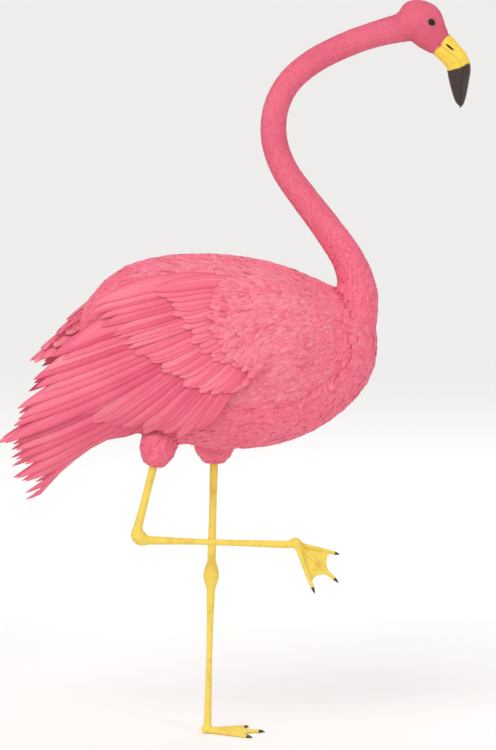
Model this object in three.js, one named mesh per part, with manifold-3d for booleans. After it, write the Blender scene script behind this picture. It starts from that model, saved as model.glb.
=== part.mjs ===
// A flamingo at life size, standing on its left leg with the right one drawn up.
// Millimetres, +Z up. The bird faces +X, and its left side is +Y. It is laid out on a floor at
// z 0, and the last lines move the origin to the middle of its base.

import * as THREE from "three";
import { mergeVertices } from "three/addons/utils/BufferGeometryUtils.js";
import Module from "manifold-3d";

const wasm = await Module();
wasm.setup();

// ---------------------------------------------------------------- driving dimensions

const GAP = 0.3; // between two pieces that meet
const WELD = 1e-4; // corners closer than this are one

const BODY = {
  front: 252, // the breast's foremost point
  frontRound: 90, // the breast rounds off from here
  rear: -226, // the end of the rump
  rearRound: -95, // the rump rounds off from here
  around: 28,
  full: 2.4, // how full its sections and its ends are: 2 is an ellipse
  rows: { breast: 8, middle: 6, rump: 6 },
  blunt: 0.997, // share of each end that is built, so that it closes on a small ring
  // x, height of the middle, half height and half width, from the wing tips to the breast
  stations: [
    [-340, 430, 130, 18],
    [-286, 456, 128, 26],
    [-230, 526, 126, 40],
    [-150, 580, 125, 62],
    [-80, 586, 139, 82],
    [0, 581, 149, 92],
    [80, 577, 143, 91],
    [150, 576, 125, 83],
    [200, 580, 112, 76],
    [252, 590, 104, 68],
  ],
};

const NECK = {
  around: 14,
  // x, z and half thickness, from inside the breast to inside the head
  course: [
    [192, 536, 30],
    [208, 606, 40],
    [220, 664, 34],
    [208, 712, 27.5],
    [176, 762, 25],
    [138, 812, 23.5],
    [108, 856, 22.5],
    [94, 900, 22],
    [97, 944, 21.5],
    [116, 982, 21],
    [150, 1012, 21],
    [198, 1037, 21],
    [252, 1056, 22],
    [302, 1068, 24],
  ],
  // shares of the course where its lengths part
  parts: [0.2, 0.345, 0.5, 0.66, 0.8, 0.93],
  steps: 6, // rings along each length
};

const HEAD = {
  x: 316,
  z: 1068,
  tilt: 38, // degrees that the face points below level
  around: 18,
  // along the face, height of the middle, half height and half width
  stations: [
    [-44, 3, 2, 2],
    [-42, 3, 10, 9],
    [-35, 3, 19, 16],
    [-24, 3, 27, 22],
    [-9, 2.5, 32, 25],
    [5, 1, 32.5, 25],
    [18, -2, 29, 22.5],
    [29, -5, 24, 18.5],
    [37, -6, 21, 16],
  ],
  steps: 12, // rings along the skull
};

const EYE = {
  along: 6,
  up: 9,
  out: 18.4, // the ball's middle, from the head's middle plane
  ball: 7.8, // radius
  lidRing: 7,
  lidThick: 1.7,
  lidOut: 4.9, // the lids' rim, outward from the ball's middle
  lidTurn: [11, 5], // degrees that the lids face upward and forward
};

const BILL = {
  // The line of the mouth leaves the head level with the face, then bends down to the tip.
  straight: 29,
  bendRadius: 29,
  bend: 56, // degrees
  tipLength: 51,
  mouthUp: -9, // the line's height at the gape
  mouthGap: 0.2, // half the slit between the halves
  around: 11,
  square: 0.9, // how square its sides are: 1 is an ellipse
  darkFrom: 0.43, // share of the length where the dark tip starts
  lowerEnds: 0.955, // the lower half stops short of the hook
  // share of the length, then depth of the upper half, depth of the lower half, half width
  stations: [
    [0, 22.5, 16.5, 15],
    [0.15, 19.5, 17.5, 14.4],
    [0.3, 16, 20, 13.6],
    [0.43, 13.5, 22, 12.8],
    [0.56, 11.5, 20.5, 11.6],
    [0.7, 10, 16, 10],
    [0.85, 8, 10, 7.6],
    [0.955, 5.6, 4.6, 5],
    [1, 1.4, 1, 1.6],
  ],
  nostril: { along: 14, up: 7, out: 14, long: 8, high: 1.8, deep: 2.6 },
};

const LEG = {
  around: 10,
  tibia: [6.4, 5.6, 6.4], // half thickness from the top down
  tarsus: [6.6, 4.9, 4.5, 4.9, 5.6],
  hockLong: 42,
  hock: [6.4, 9.6, 11.8, 10.2, 6.6],
  tarsusLong: 203, // between the hock's end and the foot's
  ankleLong: 16,
  shank: [7.2, 6.6, 5.6], // below the ankle, from the toes' root up
};

const STANDING = {
  foot: [-6, 0, 0], // the sole under the root of the toes
  hip: [4, 32, 405], // where the bare leg leaves the feathers
};

const LIFTED = {
  hip: [-86, -35, 410],
  hock: [-114, -35, 300],
  forward: 2, // degrees that the tarsus drops towards the foot
  inward: 1.5, // degrees that it swings towards the middle
  toesDown: 42, // degrees that the toes hang below level
  toesTwist: 48, // degrees that the web turns to the right
};

const THIGH = {
  around: 14,
  straight: 40, // length of its lower end in line with the bare leg
  standing: { from: [6, 14, 480], half: [22, 28, 34, 32, 16] },
  lifted: { from: [-72, -14, 480], half: [22, 27, 31, 28, 16] },
};

const FOOT = {
  hub: [9.8, 8.5, 6.8], // half lengths of the lump where the toes meet
  ankleUp: 4.2, // where the shank starts inside it
  solesDown: 1, // how far the round toes are cut off flat
  floor: { span: 400, deep: 40 }, // the block that cuts them
  webUp: 0.7,
  webThick: 1.7,
  webReach: 0.9, // share of a toe that the web joins
  webNotch: 0.66, // how far the web's edge comes out between two toes
  toeHalves: [1, 0.94, 1, 0.86, 1], // the two between them, as shares of the middle
  claw: { long: 9, bend: 0.6, rise: 0.6, tip: 1.2, halves: [0.66, 0.56, 0.38], point: 0.5 },
  // name, degrees from straight ahead, length, half thickness at root, middle and tip
  toes: [
    ["inner", 33, 66, 5, 3.9, 2.9],
    ["middle", 0, 78, 5.6, 4.3, 3],
    ["outer", -33, 72, 5, 3.9, 2.9],
  ],
};

const FEATHER = {
  thickRoot: 0.85,
  thickTip: 0.55,
  // share of the length, then share of the full width
  outline: [
    [0, 0.42],
    [0.25, 0.8],
    [0.5, 1],
    [0.72, 0.93],
    [0.88, 0.62],
    [1, 0.1],
  ],
  roll: 0.13, // rise from its upper edge to its lower one, which covers the next feather
  vary: 0.035, // how much its length and place vary, as a share
  step: 0.02, // share of its length over which its direction is taken
};

const WING = {
  seeds: { left: 7, right: 19 },
  pole: [118, 672], // x and z of the shoulder, which the feathers spread from
  // The arm and its muscles, which all the feathers grow from.
  // x from the shoulder back, steps of the trunk's rings round it, thickness of the front and
  // the rear edge, swelling between them, where that lies, and the space left to the trunk.
  arm: {
    x: [170, -96],
    rings: [2, 9],
    edge: [1.2, 5],
    swell: 4.5,
    crest: 0.7,
    clear: 0.4,
  },
  // Tiers of feathers from the body outward. spread: degrees below level of the first and last
  // feather at the root, then at the tip. root and tip: reach from the shoulder, first and last.
  // wide: first and last. lift: off the trunk, at root and tip. droop: how late a feather bends.
  tiers: [
    { name: "primaries", count: 5, spread: [28, 41, 28.5, 38], root: [200, 200], tip: [486, 496],
      wide: [26, 23], lift: [4.4, 3.6], droop: 1.6 },
    { name: "secondaries", count: 8, spread: [26, 54, 31, 55], root: [140, 118], tip: [356, 234],
      wide: [32, 28], lift: [5.2, 6.8], droop: 1.4 },
    { name: "tertials", count: 5, spread: [10, 27, 18.5, 27], root: [150, 145], tip: [372, 470],
      wide: [38, 40], lift: [5.4, 8.8], droop: 1.8 },
    { name: "greater coverts", count: 8, spread: [18, 57, 22, 55], root: [88, 84],
      tip: [232, 174], wide: [30, 27], lift: [5, 10.4], droop: 1.3 },
    { name: "median coverts", count: 7, spread: [10, 66, 20, 59], root: [56, 56],
      tip: [158, 124], wide: [28, 24], lift: [4.4, 12.4], droop: 1.3 },
    { name: "scapulars", count: 5, spread: [-13, 10, 5, 18], root: [86, 66], tip: [292, 252],
      wide: [34, 31], lift: [5.4, 12.5], droop: 1.1 },
  ],
};

const TAIL = {
  root: [-150, 0, 662],
  slope: 39, // degrees below level
  core: { at: 58, long: 52, wide: 30, thick: 11 },
  roof: 1.1, // degrees that a feather is turned outward, for each degree it points aside
  shorter: 0.1, // how much shorter its outermost feathers are, as a share
  seed: 31,
  // Tiers from the lower one: feathers, degrees to each side, where roots and tips lie along
  // the tail, full width, rise off the core's middle, and step down from feather to feather.
  tiers: [
    { count: 10, spread: 14, root: 73, tip: 152, wide: 21, rise: 2.5, step: 1.4 },
    { count: 5, spread: 13, root: 68, tip: 114, wide: 25, rise: 8, step: 1.6 },
  ],
};

const COLOUR = {
  plumage: 0xee6f87,
  bill: 0xf3cf3e,
  dark: 0x422d24,
  leg: 0xe9ce4f,
  eye: 0x0c1310,
};

// ---------------------------------------------------------------- solids

const vec = (x, y, z) => new THREE.Vector3(x, y, z);
const radians = THREE.MathUtils.degToRad;
const ACROSS = vec(0, 1, 0);

function solid(geometry) {
  const bare = new THREE.BufferGeometry();
  bare.setAttribute("position", geometry.getAttribute("position"));
  bare.setIndex(geometry.index);
  const welded = mergeVertices(bare, WELD);
  return new wasm.Manifold(
    new wasm.Mesh({
      numProp: 3,
      vertProperties: welded.getAttribute("position").array,
      triVerts: new Uint32Array(welded.index.array),
    }),
  );
}

// The largest closed surface of a solid, without loose scraps or sealed hollows.
function largest(whole) {
  const pieces = whole.decompose();
  return pieces.reduce((best, piece) => (piece.volume() > best.volume() ? piece : best));
}

function geometryOf(whole) {
  const mesh = largest(whole).getMesh();
  const geometry = new THREE.BufferGeometry();
  geometry.setAttribute("position", new THREE.BufferAttribute(mesh.vertProperties, 3));
  geometry.setIndex(new THREE.BufferAttribute(mesh.triVerts, 1));
  geometry.computeVertexNormals();
  return geometry;
}

function join(geometries) {
  return geometries.map(solid).reduce((whole, piece) => whole.add(piece));
}

// Two triangles for each cell between rows of points, wound to face out where a row turns
// anticlockwise about the way from row to row.
function cells(rows, columns, at, closed) {
  const faces = [];
  const last = closed ? columns : columns - 1;
  for (let i = 0; i + 1 < rows; i++) {
    for (let j = 0; j < last; j++) {
      const k = (j + 1) % columns;
      faces.push(at(i, j), at(i, k), at(i + 1, j));
      faces.push(at(i, k), at(i + 1, k), at(i + 1, j));
    }
  }
  return faces;
}

function geometryFrom(points, faces) {
  const geometry = new THREE.BufferGeometry().setFromPoints(points);
  geometry.setIndex(faces);
  return geometry;
}

// A closed body through rings of points, each anticlockwise about the way forward.
function loft(rings) {
  const around = rings[0].length;
  const points = rings.flat();
  const faces = cells(rings.length, around, (i, j) => i * around + j, true);
  const ends = [rings[0], rings[rings.length - 1]];
  ends.forEach((ring, end) => {
    const middle = points.length;
    const first = end * (rings.length - 1) * around;
    points.push(ring.reduce((sum, p) => sum.add(p), vec(0, 0, 0)).divideScalar(around));
    for (let j = 0; j < around; j++) {
      const k = (j + 1) % around;
      faces.push(middle, first + (end ? j : k), first + (end ? k : j));
    }
  });
  return geometryFrom(points, faces);
}

// A closed plate between two grids of points, the first of them on its outer face.
function plate(outer, inner) {
  const rows = outer.length;
  const columns = outer[0].length;
  const points = [...outer.flat(), ...inner.flat()];
  const under = rows * columns;
  const at = (i, j) => i * columns + j;
  const top = cells(rows, columns, at, false);
  const faces = [...top];
  for (let i = 0; i < top.length; i += 3) {
    faces.push(top[i] + under, top[i + 2] + under, top[i + 1] + under);
  }
  const rim = [];
  for (let j = 0; j < columns; j++) rim.push(at(0, j));
  for (let i = 1; i < rows; i++) rim.push(at(i, columns - 1));
  for (let j = columns - 2; j >= 0; j--) rim.push(at(rows - 1, j));
  for (let i = rows - 2; i > 0; i--) rim.push(at(i, 0));
  rim.forEach((a, n) => {
    const b = rim[(n + 1) % rim.length];
    faces.push(a, a + under, b, b, a + under, b + under);
  });
  return geometryFrom(points, faces);
}

// A ring of points about a middle. first and second are square to the way forward.
function ring(middle, first, second, wide, high, around) {
  const points = [];
  for (let j = 0; j < around; j++) {
    const angle = (2 * Math.PI * j) / around;
    const p = middle.clone().addScaledVector(first, wide * Math.cos(angle));
    points.push(p.addScaledVector(second, high * Math.sin(angle)));
  }
  return points;
}

// A smooth curve through rows of numbers: the first number says where, the rest are values.
function through(rows) {
  const size = rows[0].length - 1;
  const places = new Float64Array(rows.map((row) => row[0]));
  const values = new Float64Array(rows.flatMap((row) => row.slice(1)));
  const curve = new THREE.CubicInterpolant(places, values, size, new Float64Array(size));
  return (place) => [...curve.evaluate(place)];
}

// ---------------------------------------------------------------- body

const bodyAt = through(BODY.stations);

// A rounded end's half thickness, from 1 where the rounding starts to 0 at the end.
function rounding(x, start, end) {
  const share = THREE.MathUtils.clamp((x - start) / (end - start), 0, 1);
  return (1 - share ** BODY.full) ** (1 / BODY.full);
}

// The body's section at x: height of its middle, half height and half width.
function section(x) {
  const [z, high, wide] = bodyAt(x);
  const round = rounding(x, BODY.frontRound, BODY.front);
  return { z, high: high * round, wide: wide * round };
}

// How far a point of a section lies from its middle, as shares of its half width and height.
function oval(angle) {
  const full = (part) => Math.sign(part) * Math.abs(part) ** (2 / BODY.full);
  return { out: full(Math.sin(angle)), up: full(Math.cos(angle)) };
}

// The angle at which a section reaches a height, given as a share of its half height.
function angleAt(up) {
  const within = THREE.MathUtils.clamp(up, -0.97, 0.97);
  return Math.acos(Math.sign(within) * Math.abs(within) ** (BODY.full / 2));
}

// A point of the left side, angle down from the ridge of the back, raised off the surface.
function onBody(x, angle, lift) {
  const place = (px, pa) => {
    const s = section(px);
    const { out, up } = oval(pa);
    return vec(px, s.wide * out, s.z + s.high * up);
  };
  const step = 0.01;
  const back = place(x - 1, angle).sub(place(x + 1, angle));
  const down = place(x, angle + step).sub(place(x, angle - step));
  return place(x, angle).addScaledVector(down.cross(back).normalize(), lift);
}

// Where the trunk's rings stand, from the breast to the rump, closer together at both ends.
function bodyRows() {
  const { breast, middle, rump } = BODY.rows;
  const rounded = (i, steps) => Math.min(Math.sin((Math.PI / 2) * (i / steps)), BODY.blunt);
  const rows = [];
  for (let i = breast; i > 0; i--) {
    rows.push(THREE.MathUtils.lerp(BODY.frontRound, BODY.front, rounded(i, breast)));
  }
  for (let i = 0; i < middle; i++) {
    rows.push(THREE.MathUtils.lerp(BODY.frontRound, BODY.rearRound, i / middle));
  }
  for (let i = 0; i <= rump; i++) {
    rows.push(THREE.MathUtils.lerp(BODY.rearRound, BODY.rear, rounded(i, rump)));
  }
  return rows;
}

// The trunk without its neck, swollen by clear on every side.
function trunk(clear) {
  const middle = (BODY.front + BODY.rear) / 2;
  const stretch = 1 + clear / (BODY.front - middle);
  const rings = bodyRows().map((x) => {
    const s = section(x);
    const round = rounding(x, BODY.rearRound, BODY.rear);
    const wide = s.wide * round + clear;
    const high = s.high * round + clear;
    const along = middle + (x - middle) * stretch;
    return Array.from({ length: BODY.around }, (_, j) => {
      const { out, up } = oval((2 * Math.PI * j) / BODY.around);
      return vec(along, wide * out, s.z + high * up);
    });
  });
  return solid(loft(rings));
}

// ---------------------------------------------------------------- neck and head

const neckCurve = new THREE.CatmullRomCurve3(NECK.course.map(([x, z]) => vec(x, 0, z)));
const neckGirth = new THREE.SplineCurve(
  NECK.course.map(([, , half], i) => new THREE.Vector2(i, half)),
);

function neckPiece(from, to, steps) {
  const rings = [];
  for (let i = 0; i <= steps; i++) {
    const t = THREE.MathUtils.lerp(from, to, i / steps);
    const up = neckCurve.getTangent(t).cross(ACROSS);
    const half = neckGirth.getPoint(t).y;
    rings.push(ring(neckCurve.getPoint(t), ACROSS, up, half, half, NECK.around));
  }
  return loft(rings);
}

// The share of the course that a gap takes up.
const NECK_GAP = GAP / neckCurve.getLength();

function neck() {
  const lengths = [];
  for (let i = 0; i + 1 < NECK.parts.length; i++) {
    const from = NECK.parts[i] + NECK_GAP / 2;
    const to = NECK.parts[i + 1] - NECK_GAP / 2;
    lengths.push([`neck_${i + 1}`, neckPiece(from, to, NECK.steps)]);
  }
  return lengths;
}

function torso() {
  const stump = neckPiece(0, NECK.parts[0] - NECK_GAP / 2, 5);
  return trunk(0).add(solid(stump));
}

// The head's own frame: x along the face, z up through the crown.
const headFrame = new THREE.Matrix4()
  .makeRotationY(radians(HEAD.tilt))
  .setPosition(HEAD.x, 0, HEAD.z);
const headAt = through(HEAD.stations);

function skull() {
  const [back, front] = [HEAD.stations[0][0], HEAD.stations[HEAD.stations.length - 1][0]];
  const rings = [];
  for (let i = 0; i <= HEAD.steps; i++) {
    const share = 0.5 - 0.5 * Math.cos(Math.PI * (i / HEAD.steps));
    const x = THREE.MathUtils.lerp(back, front, share);
    const [z, high, wide] = headAt(x);
    rings.push(ring(vec(x, 0, z), ACROSS, vec(0, 0, 1), wide, high, HEAD.around));
  }
  return loft(rings).applyMatrix4(headFrame);
}

function eyeball(side, radius) {
  const ball = new THREE.SphereGeometry(radius, 12, 8).rotateX(Math.PI / 2);
  return ball.translate(EYE.along, side * EYE.out, EYE.up).applyMatrix4(headFrame);
}

function lids(side) {
  const rim = new THREE.TorusGeometry(EYE.lidRing, EYE.lidThick, 5, 14).rotateX(Math.PI / 2);
  const [upward, forward] = EYE.lidTurn.map(radians);
  rim.rotateX(side * upward).rotateZ(-side * forward);
  rim.translate(EYE.along, side * (EYE.out + EYE.lidOut), EYE.up);
  return rim.applyMatrix4(headFrame);
}

function head() {
  const stump = neckPiece(NECK.parts[NECK.parts.length - 1] + NECK_GAP / 2, 1, 4);
  const flesh = join([skull(), stump, lids(1), lids(-1)]);
  return flesh.subtract(join([eyeball(1, EYE.ball + GAP), eyeball(-1, EYE.ball + GAP)]));
}

// ---------------------------------------------------------------- bill

const billAt = through(BILL.stations);
const bendLong = BILL.bendRadius * radians(BILL.bend);
const billLong = BILL.straight + bendLong + BILL.tipLength;

// The mouth's line at a share of its length: the point and the way forward, in the head's frame.
function mouth(share) {
  const long = share * billLong;
  const bent = (long - BILL.straight) / BILL.bendRadius;
  const turn = THREE.MathUtils.clamp(bent, 0, radians(BILL.bend));
  const straight = Math.min(long, BILL.straight);
  const beyond = Math.max(0, long - BILL.straight - bendLong);
  const forward = vec(Math.cos(turn), 0, -Math.sin(turn));
  const base = HEAD.stations[HEAD.stations.length - 1][0] + GAP;
  const point = vec(base + straight + BILL.bendRadius * Math.sin(turn), 0, BILL.mouthUp);
  point.z -= BILL.bendRadius * (1 - Math.cos(turn));
  return { point: point.addScaledVector(forward, beyond), forward };
}

// Half of the bill between two shares of its length: flat at the mouth, round outside.
function billHalf(above, from, to, steps) {
  const rings = [];
  for (let i = 0; i <= steps; i++) {
    const share = THREE.MathUtils.lerp(from, to, i / steps);
    const { point, forward } = mouth(share);
    const up = forward.clone().cross(ACROSS);
    const [upper, lower, wide] = billAt(share);
    const deep = above ? upper : lower;
    const points = [];
    for (let j = 0; j <= BILL.around; j++) {
      const angle = (Math.PI * j) / BILL.around;
      const out = wide * Math.cos(angle);
      const rise = BILL.mouthGap + deep * Math.sin(angle) ** BILL.square;
      const p = point.clone().addScaledVector(ACROSS, above ? out : -out);
      points.push(p.addScaledVector(up, above ? rise : -rise));
    }
    rings.push(points);
  }
  return loft(rings).applyMatrix4(headFrame);
}

function nostril(side) {
  const { along, up, out, long, high, deep } = BILL.nostril;
  const { point } = mouth(along / billLong);
  const slot = new THREE.SphereGeometry(1, 10, 6).scale(long, deep, high);
  return slot.translate(point.x, side * out, point.z + up).applyMatrix4(headFrame);
}

function bill() {
  const cut = GAP / 2 / billLong;
  const dark = BILL.darkFrom;
  const upper = solid(billHalf(true, 0, dark - cut, 5));
  return [
    ["bill_upper", upper.subtract(join([nostril(1), nostril(-1)])), COLOUR.bill],
    ["bill_upper_tip", solid(billHalf(true, dark + cut, 1, 9)), COLOUR.dark],
    ["bill_lower", solid(billHalf(false, 0, dark - cut, 5)), COLOUR.bill],
    ["bill_lower_tip", solid(billHalf(false, dark + cut, BILL.lowerEnds, 8)), COLOUR.dark],
  ];
}

// ---------------------------------------------------------------- legs

// A tapered limb along a curve, with its half thicknesses spread evenly from end to end.
function limb(curve, halves, steps, around) {
  const girth = new THREE.SplineCurve(halves.map((half, i) => new THREE.Vector2(i, half)));
  const rings = [];
  for (let i = 0; i <= steps; i++) {
    const forward = curve.getTangentAt(i / steps);
    const side = ACROSS.clone().cross(forward).normalize();
    const second = forward.clone().cross(side);
    const half = girth.getPoint(i / steps).y;
    rings.push(ring(curve.getPointAt(i / steps), side, second, half, half, around));
  }
  return loft(rings);
}

// A straight limb that stops short of both its ends by half a gap.
function bone(from, to, halves, steps) {
  const way = to.clone().sub(from).normalize();
  const start = from.clone().addScaledVector(way, GAP / 2);
  const end = to.clone().addScaledVector(way, -GAP / 2);
  return limb(new THREE.LineCurve3(start, end), halves, steps, LEG.around);
}

// The knob where the leg bends, from its upper end to its lower one.
function hock(middle, wayIn, wayOut) {
  const half = LEG.hockLong / 2 - GAP / 2;
  const from = middle.clone().addScaledVector(wayIn, -half);
  const to = middle.clone().addScaledVector(wayOut, half);
  return limb(new THREE.QuadraticBezierCurve3(from, middle, to), LEG.hock, 7, LEG.around);
}

// The feathered upper leg, from inside the trunk to where the bare leg starts.
function thigh(shape, hip, down) {
  const end = hip.clone().addScaledVector(down, -GAP / 2);
  const bend = hip.clone().addScaledVector(down, -THIGH.straight);
  const course = new THREE.QuadraticBezierCurve3(vec(...shape.from), bend, end);
  return limb(course, shape.half, 8, THIGH.around);
}

const towards = (from, to) => to.clone().sub(from).normalize();

// Where the pieces of both legs begin and end.
function legPlaces() {
  const standing = { hip: vec(...STANDING.hip) };
  standing.sole = vec(...STANDING.foot);
  standing.down = towards(standing.hip, standing.sole);
  standing.ankle = standing.sole.clone().addScaledVector(standing.down, -LEG.ankleLong);
  const rise = LEG.tarsusLong + LEG.hockLong / 2;
  standing.hock = standing.ankle.clone().addScaledVector(standing.down, -rise);
  standing.onward = standing.down;

  const lifted = { hip: vec(...LIFTED.hip), hock: vec(...LIFTED.hock) };
  lifted.down = towards(lifted.hip, lifted.hock);
  const turn = new THREE.Euler(0, radians(LIFTED.forward), radians(LIFTED.inward), "ZYX");
  lifted.onward = vec(1, 0, 0).applyEuler(turn);
  lifted.ankle = lifted.hock.clone().addScaledVector(lifted.onward, rise);
  lifted.sole = lifted.ankle.clone().addScaledVector(lifted.onward, LEG.ankleLong);
  return { standing, lifted };
}

// ---------------------------------------------------------------- feet

// The foot's own frame: x along the middle toe, z up through the ankle, the sole at 0.
function toeCurve([, angle, long], height) {
  const way = vec(Math.cos(radians(angle)), Math.sin(radians(angle)), 0);
  const points = [0, 0.35, 0.7, 1].map((share) => {
    const point = way.clone().multiplyScalar(long * share);
    point.z = height[0] + (height[1] - height[0]) * share;
    return point;
  });
  return new THREE.CatmullRomCurve3(points);
}

function toe(row) {
  const [, , , root, middle, tip] = row;
  const height = [root - FOOT.solesDown, tip - FOOT.solesDown];
  const around = [root, middle, middle, middle, tip];
  const halves = around.map((half, i) => half * FOOT.toeHalves[i]);
  return limb(toeCurve(row, height), halves, 5, 8);
}

function web(a, b) {
  const at = ([, angle, long], share) => {
    const reach = long * share;
    return [reach * Math.cos(radians(angle)), reach * Math.sin(radians(angle))];
  };
  const between = ["", (a[1] + b[1]) / 2, (a[2] + b[2]) / 2];
  const outline = new THREE.Shape();
  outline.moveTo(0, 0);
  outline.lineTo(...at(b, FOOT.webReach));
  outline.quadraticCurveTo(...at(between, FOOT.webNotch), ...at(a, FOOT.webReach));
  outline.closePath();
  const sheet = { depth: FOOT.webThick, bevelEnabled: false, curveSegments: 4 };
  return new THREE.ExtrudeGeometry(outline, sheet).translate(0, 0, FOOT.webUp);
}

// The foot in its own frame. ankle is where the bare leg meets it.
function foot(ankle) {
  const hub = new THREE.SphereGeometry(1, 10, 6).rotateX(Math.PI / 2).scale(...FOOT.hub);
  hub.translate(0, 0, FOOT.hub[2] - FOOT.solesDown);
  const root = vec(0, 0, FOOT.ankleUp);
  const end = ankle.clone().addScaledVector(towards(root, ankle), -GAP / 2);
  const shank = limb(new THREE.LineCurve3(root, end), LEG.shank, 3, LEG.around);
  const [inner, middle, outer] = FOOT.toes;
  const webs = [web(middle, inner), web(outer, middle)];
  const whole = join([hub, shank, ...FOOT.toes.map(toe), ...webs]);
  const { span, deep } = FOOT.floor;
  const below = new THREE.BoxGeometry(span, span, deep).translate(0, 0, -deep / 2);
  return whole.subtract(solid(below));
}

function claw([, angle, toeLong, , , tip]) {
  const { long, bend, rise, tip: low, halves, point } = FOOT.claw;
  const way = vec(Math.cos(radians(angle)), Math.sin(radians(angle)), 0);
  const up = tip - FOOT.solesDown;
  const start = way.clone().multiplyScalar(toeLong + GAP).setZ(up);
  const middle = way.clone().multiplyScalar(toeLong + long * bend).setZ(up + rise);
  const end = way.clone().multiplyScalar(toeLong + long).setZ(low);
  const curve = new THREE.QuadraticBezierCurve3(start, middle, end);
  return limb(curve, [...halves.map((share) => share * tip), point], 3, 7);
}

// ---------------------------------------------------------------- wings and tail

// A point of the left wing: degrees below level at the shoulder, and the way from it.
function onWing(degrees, reach, lift) {
  const x = WING.pole[0] - reach * Math.cos(radians(degrees));
  const z = WING.pole[1] - reach * Math.sin(radians(degrees));
  const s = section(x);
  return onBody(x, angleAt((z - s.z) / s.high), lift);
}

// Draws of chance that come out the same each time: from -1 to 1.
function chance(seed) {
  let state = seed;
  return () => {
    state = (state * 16807) % 2147483647;
    return (2 * state) / 2147483647 - 1;
  };
}

const featherWidth = through(FEATHER.outline);

// A thin tapered plate. lay(share, across, lift) gives its points: the share of its length,
// the way from its middle line towards its lower edge, and the rise off what it lies on.
function feather(lay, wide) {
  
  const rows = FEATHER.outline.map(([share]) => {
    const half = (wide * featherWidth(share)[0]) / 2;
    const thick = THREE.MathUtils.lerp(FEATHER.thickRoot, FEATHER.thickTip, share) / 2;
    const edge = (side, lift) => lay(share, side * half, side * half * FEATHER.roll + lift);
    return [[edge(-1, thick), edge(1, thick)], [edge(-1, -thick), edge(1, -thick)]];
  });
  return plate(rows.map(([outer]) => outer), rows.map(([, inner]) => inner));
}

// The point over the left side that is nearest to p, raised off the body's surface.
function dropOn(p, lift) {
  const s = section(p.x);
  const part = (share) => Math.sign(share) * Math.abs(share) ** (BODY.full / 2);
  return onBody(p.x, Math.atan2(part(p.y / s.wide), part((p.z - s.z) / s.high)), lift);
}

function wingFeather(tier, place, draw) {
  const { spread, root, tip, wide, lift, droop } = tier;
  const { lerp } = THREE.MathUtils;
  const long = 1 + FEATHER.vary * draw();
  const aside = FEATHER.vary * draw() * (spread[3] - spread[2]);
  const ends = [lerp(spread[0], spread[1], place), lerp(spread[2], spread[3], place) + aside];
  const reach = [lerp(...root, place), lerp(...tip, place) * long];
  const middle = (share) => {
    const degrees = lerp(...ends, Math.max(share, 0) ** droop);
    return onWing(degrees, lerp(...reach, share), 0);
  };
  const lay = (share, across, rise) => {
    const at = middle(share);
    const onward = middle(share + FEATHER.step).sub(middle(share - FEATHER.step)).normalize();
    const away = dropOn(at, 1).sub(dropOn(at, 0));
    const down = onward.cross(away).normalize();
    return dropOn(at.addScaledVector(down, across), lerp(...lift, share) + rise);
  };
  return feather(lay, lerp(...wide, place));
}

// What the wing's feathers grow from: a lens over the trunk's side, edged thin.
function arm() {
  const { x: [from, to], rings: [upper, lower], edge, swell, crest, clear } = WING.arm;
  const rows = bodyRows().filter((x) => x <= from && x >= to);
  const hump = (i, last) => Math.sin(Math.PI * (i / last) ** crest);
  const skin = (thick) =>
    rows.map((x, i) =>
      Array.from({ length: lower - upper + 1 }, (_, k) => {
        const angle = (2 * Math.PI * (upper + k)) / BODY.around;
        const swollen = swell * hump(i, rows.length - 1) * hump(k, lower - upper);
        const edged = THREE.MathUtils.lerp(...edge, i / (rows.length - 1));
        return onBody(x, angle, clear + thick * (edged + swollen));
      }),
    );
  return plate(skin(1), skin(0));
}

function wing(seed) {
  const draw = chance(seed);
  const pieces = [arm()];
  for (const tier of WING.tiers) {
    for (let i = 0; i < tier.count; i++) {
      pieces.push(wingFeather(tier, i / (tier.count - 1), draw));
    }
  }
  return join(pieces);
}

function tail() {
  const slope = radians(TAIL.slope);
  const way = vec(-Math.cos(slope), 0, -Math.sin(slope));
  const up = vec(-Math.sin(slope), 0, Math.cos(slope));
  const root = vec(...TAIL.root);
  const { at, long, wide, thick } = TAIL.core;
  const core = new THREE.SphereGeometry(1, 12, 6).rotateX(Math.PI / 2).scale(long, wide, thick);
  core.translate(-at, 0, 0).rotateY(-slope).translate(root.x, root.y, root.z);
  const draw = chance(TAIL.seed);
  const pieces = [core];
  for (const tier of TAIL.tiers) {
    for (let i = 0; i < tier.count; i++) {
      const place = (2 * i) / (tier.count - 1) - 1;
      const degrees = tier.spread * place;
      const turn = radians(degrees);
      const onward = way.clone().multiplyScalar(Math.cos(turn));
      onward.addScaledVector(ACROSS, Math.sin(turn));
      const outward = up.clone().applyAxisAngle(way, radians(-TAIL.roof * degrees));
      const across = onward.clone().cross(outward).normalize();
      const to = tier.tip * (1 + FEATHER.vary * draw()) * (1 - TAIL.shorter * place * place);
      const rise = tier.rise - tier.step * Math.abs(place) * (tier.count / 2);
      const lay = (share, aside, lift) =>
        root
          .clone()
          .addScaledVector(onward, THREE.MathUtils.lerp(tier.root, to, share))
          .addScaledVector(across, aside)
          .addScaledVector(outward, rise + lift);
      pieces.push(feather(lay, tier.wide));
    }
  }
  return join(pieces).subtract(trunk(GAP));
}

// ---------------------------------------------------------------- the whole bird

const bird = new THREE.Group();

function add(name, geometry, colour, roughness, parent = bird) {
  const material = new THREE.MeshStandardMaterial({ color: colour, roughness, metalness: 0 });
  const mesh = new THREE.Mesh(geometry, material);
  mesh.name = name;
  parent.add(mesh);
  return mesh;
}

const ROUGH = { plumage: 0.85, horn: 0.45, skin: 0.6, eye: 0.08 };

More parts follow.
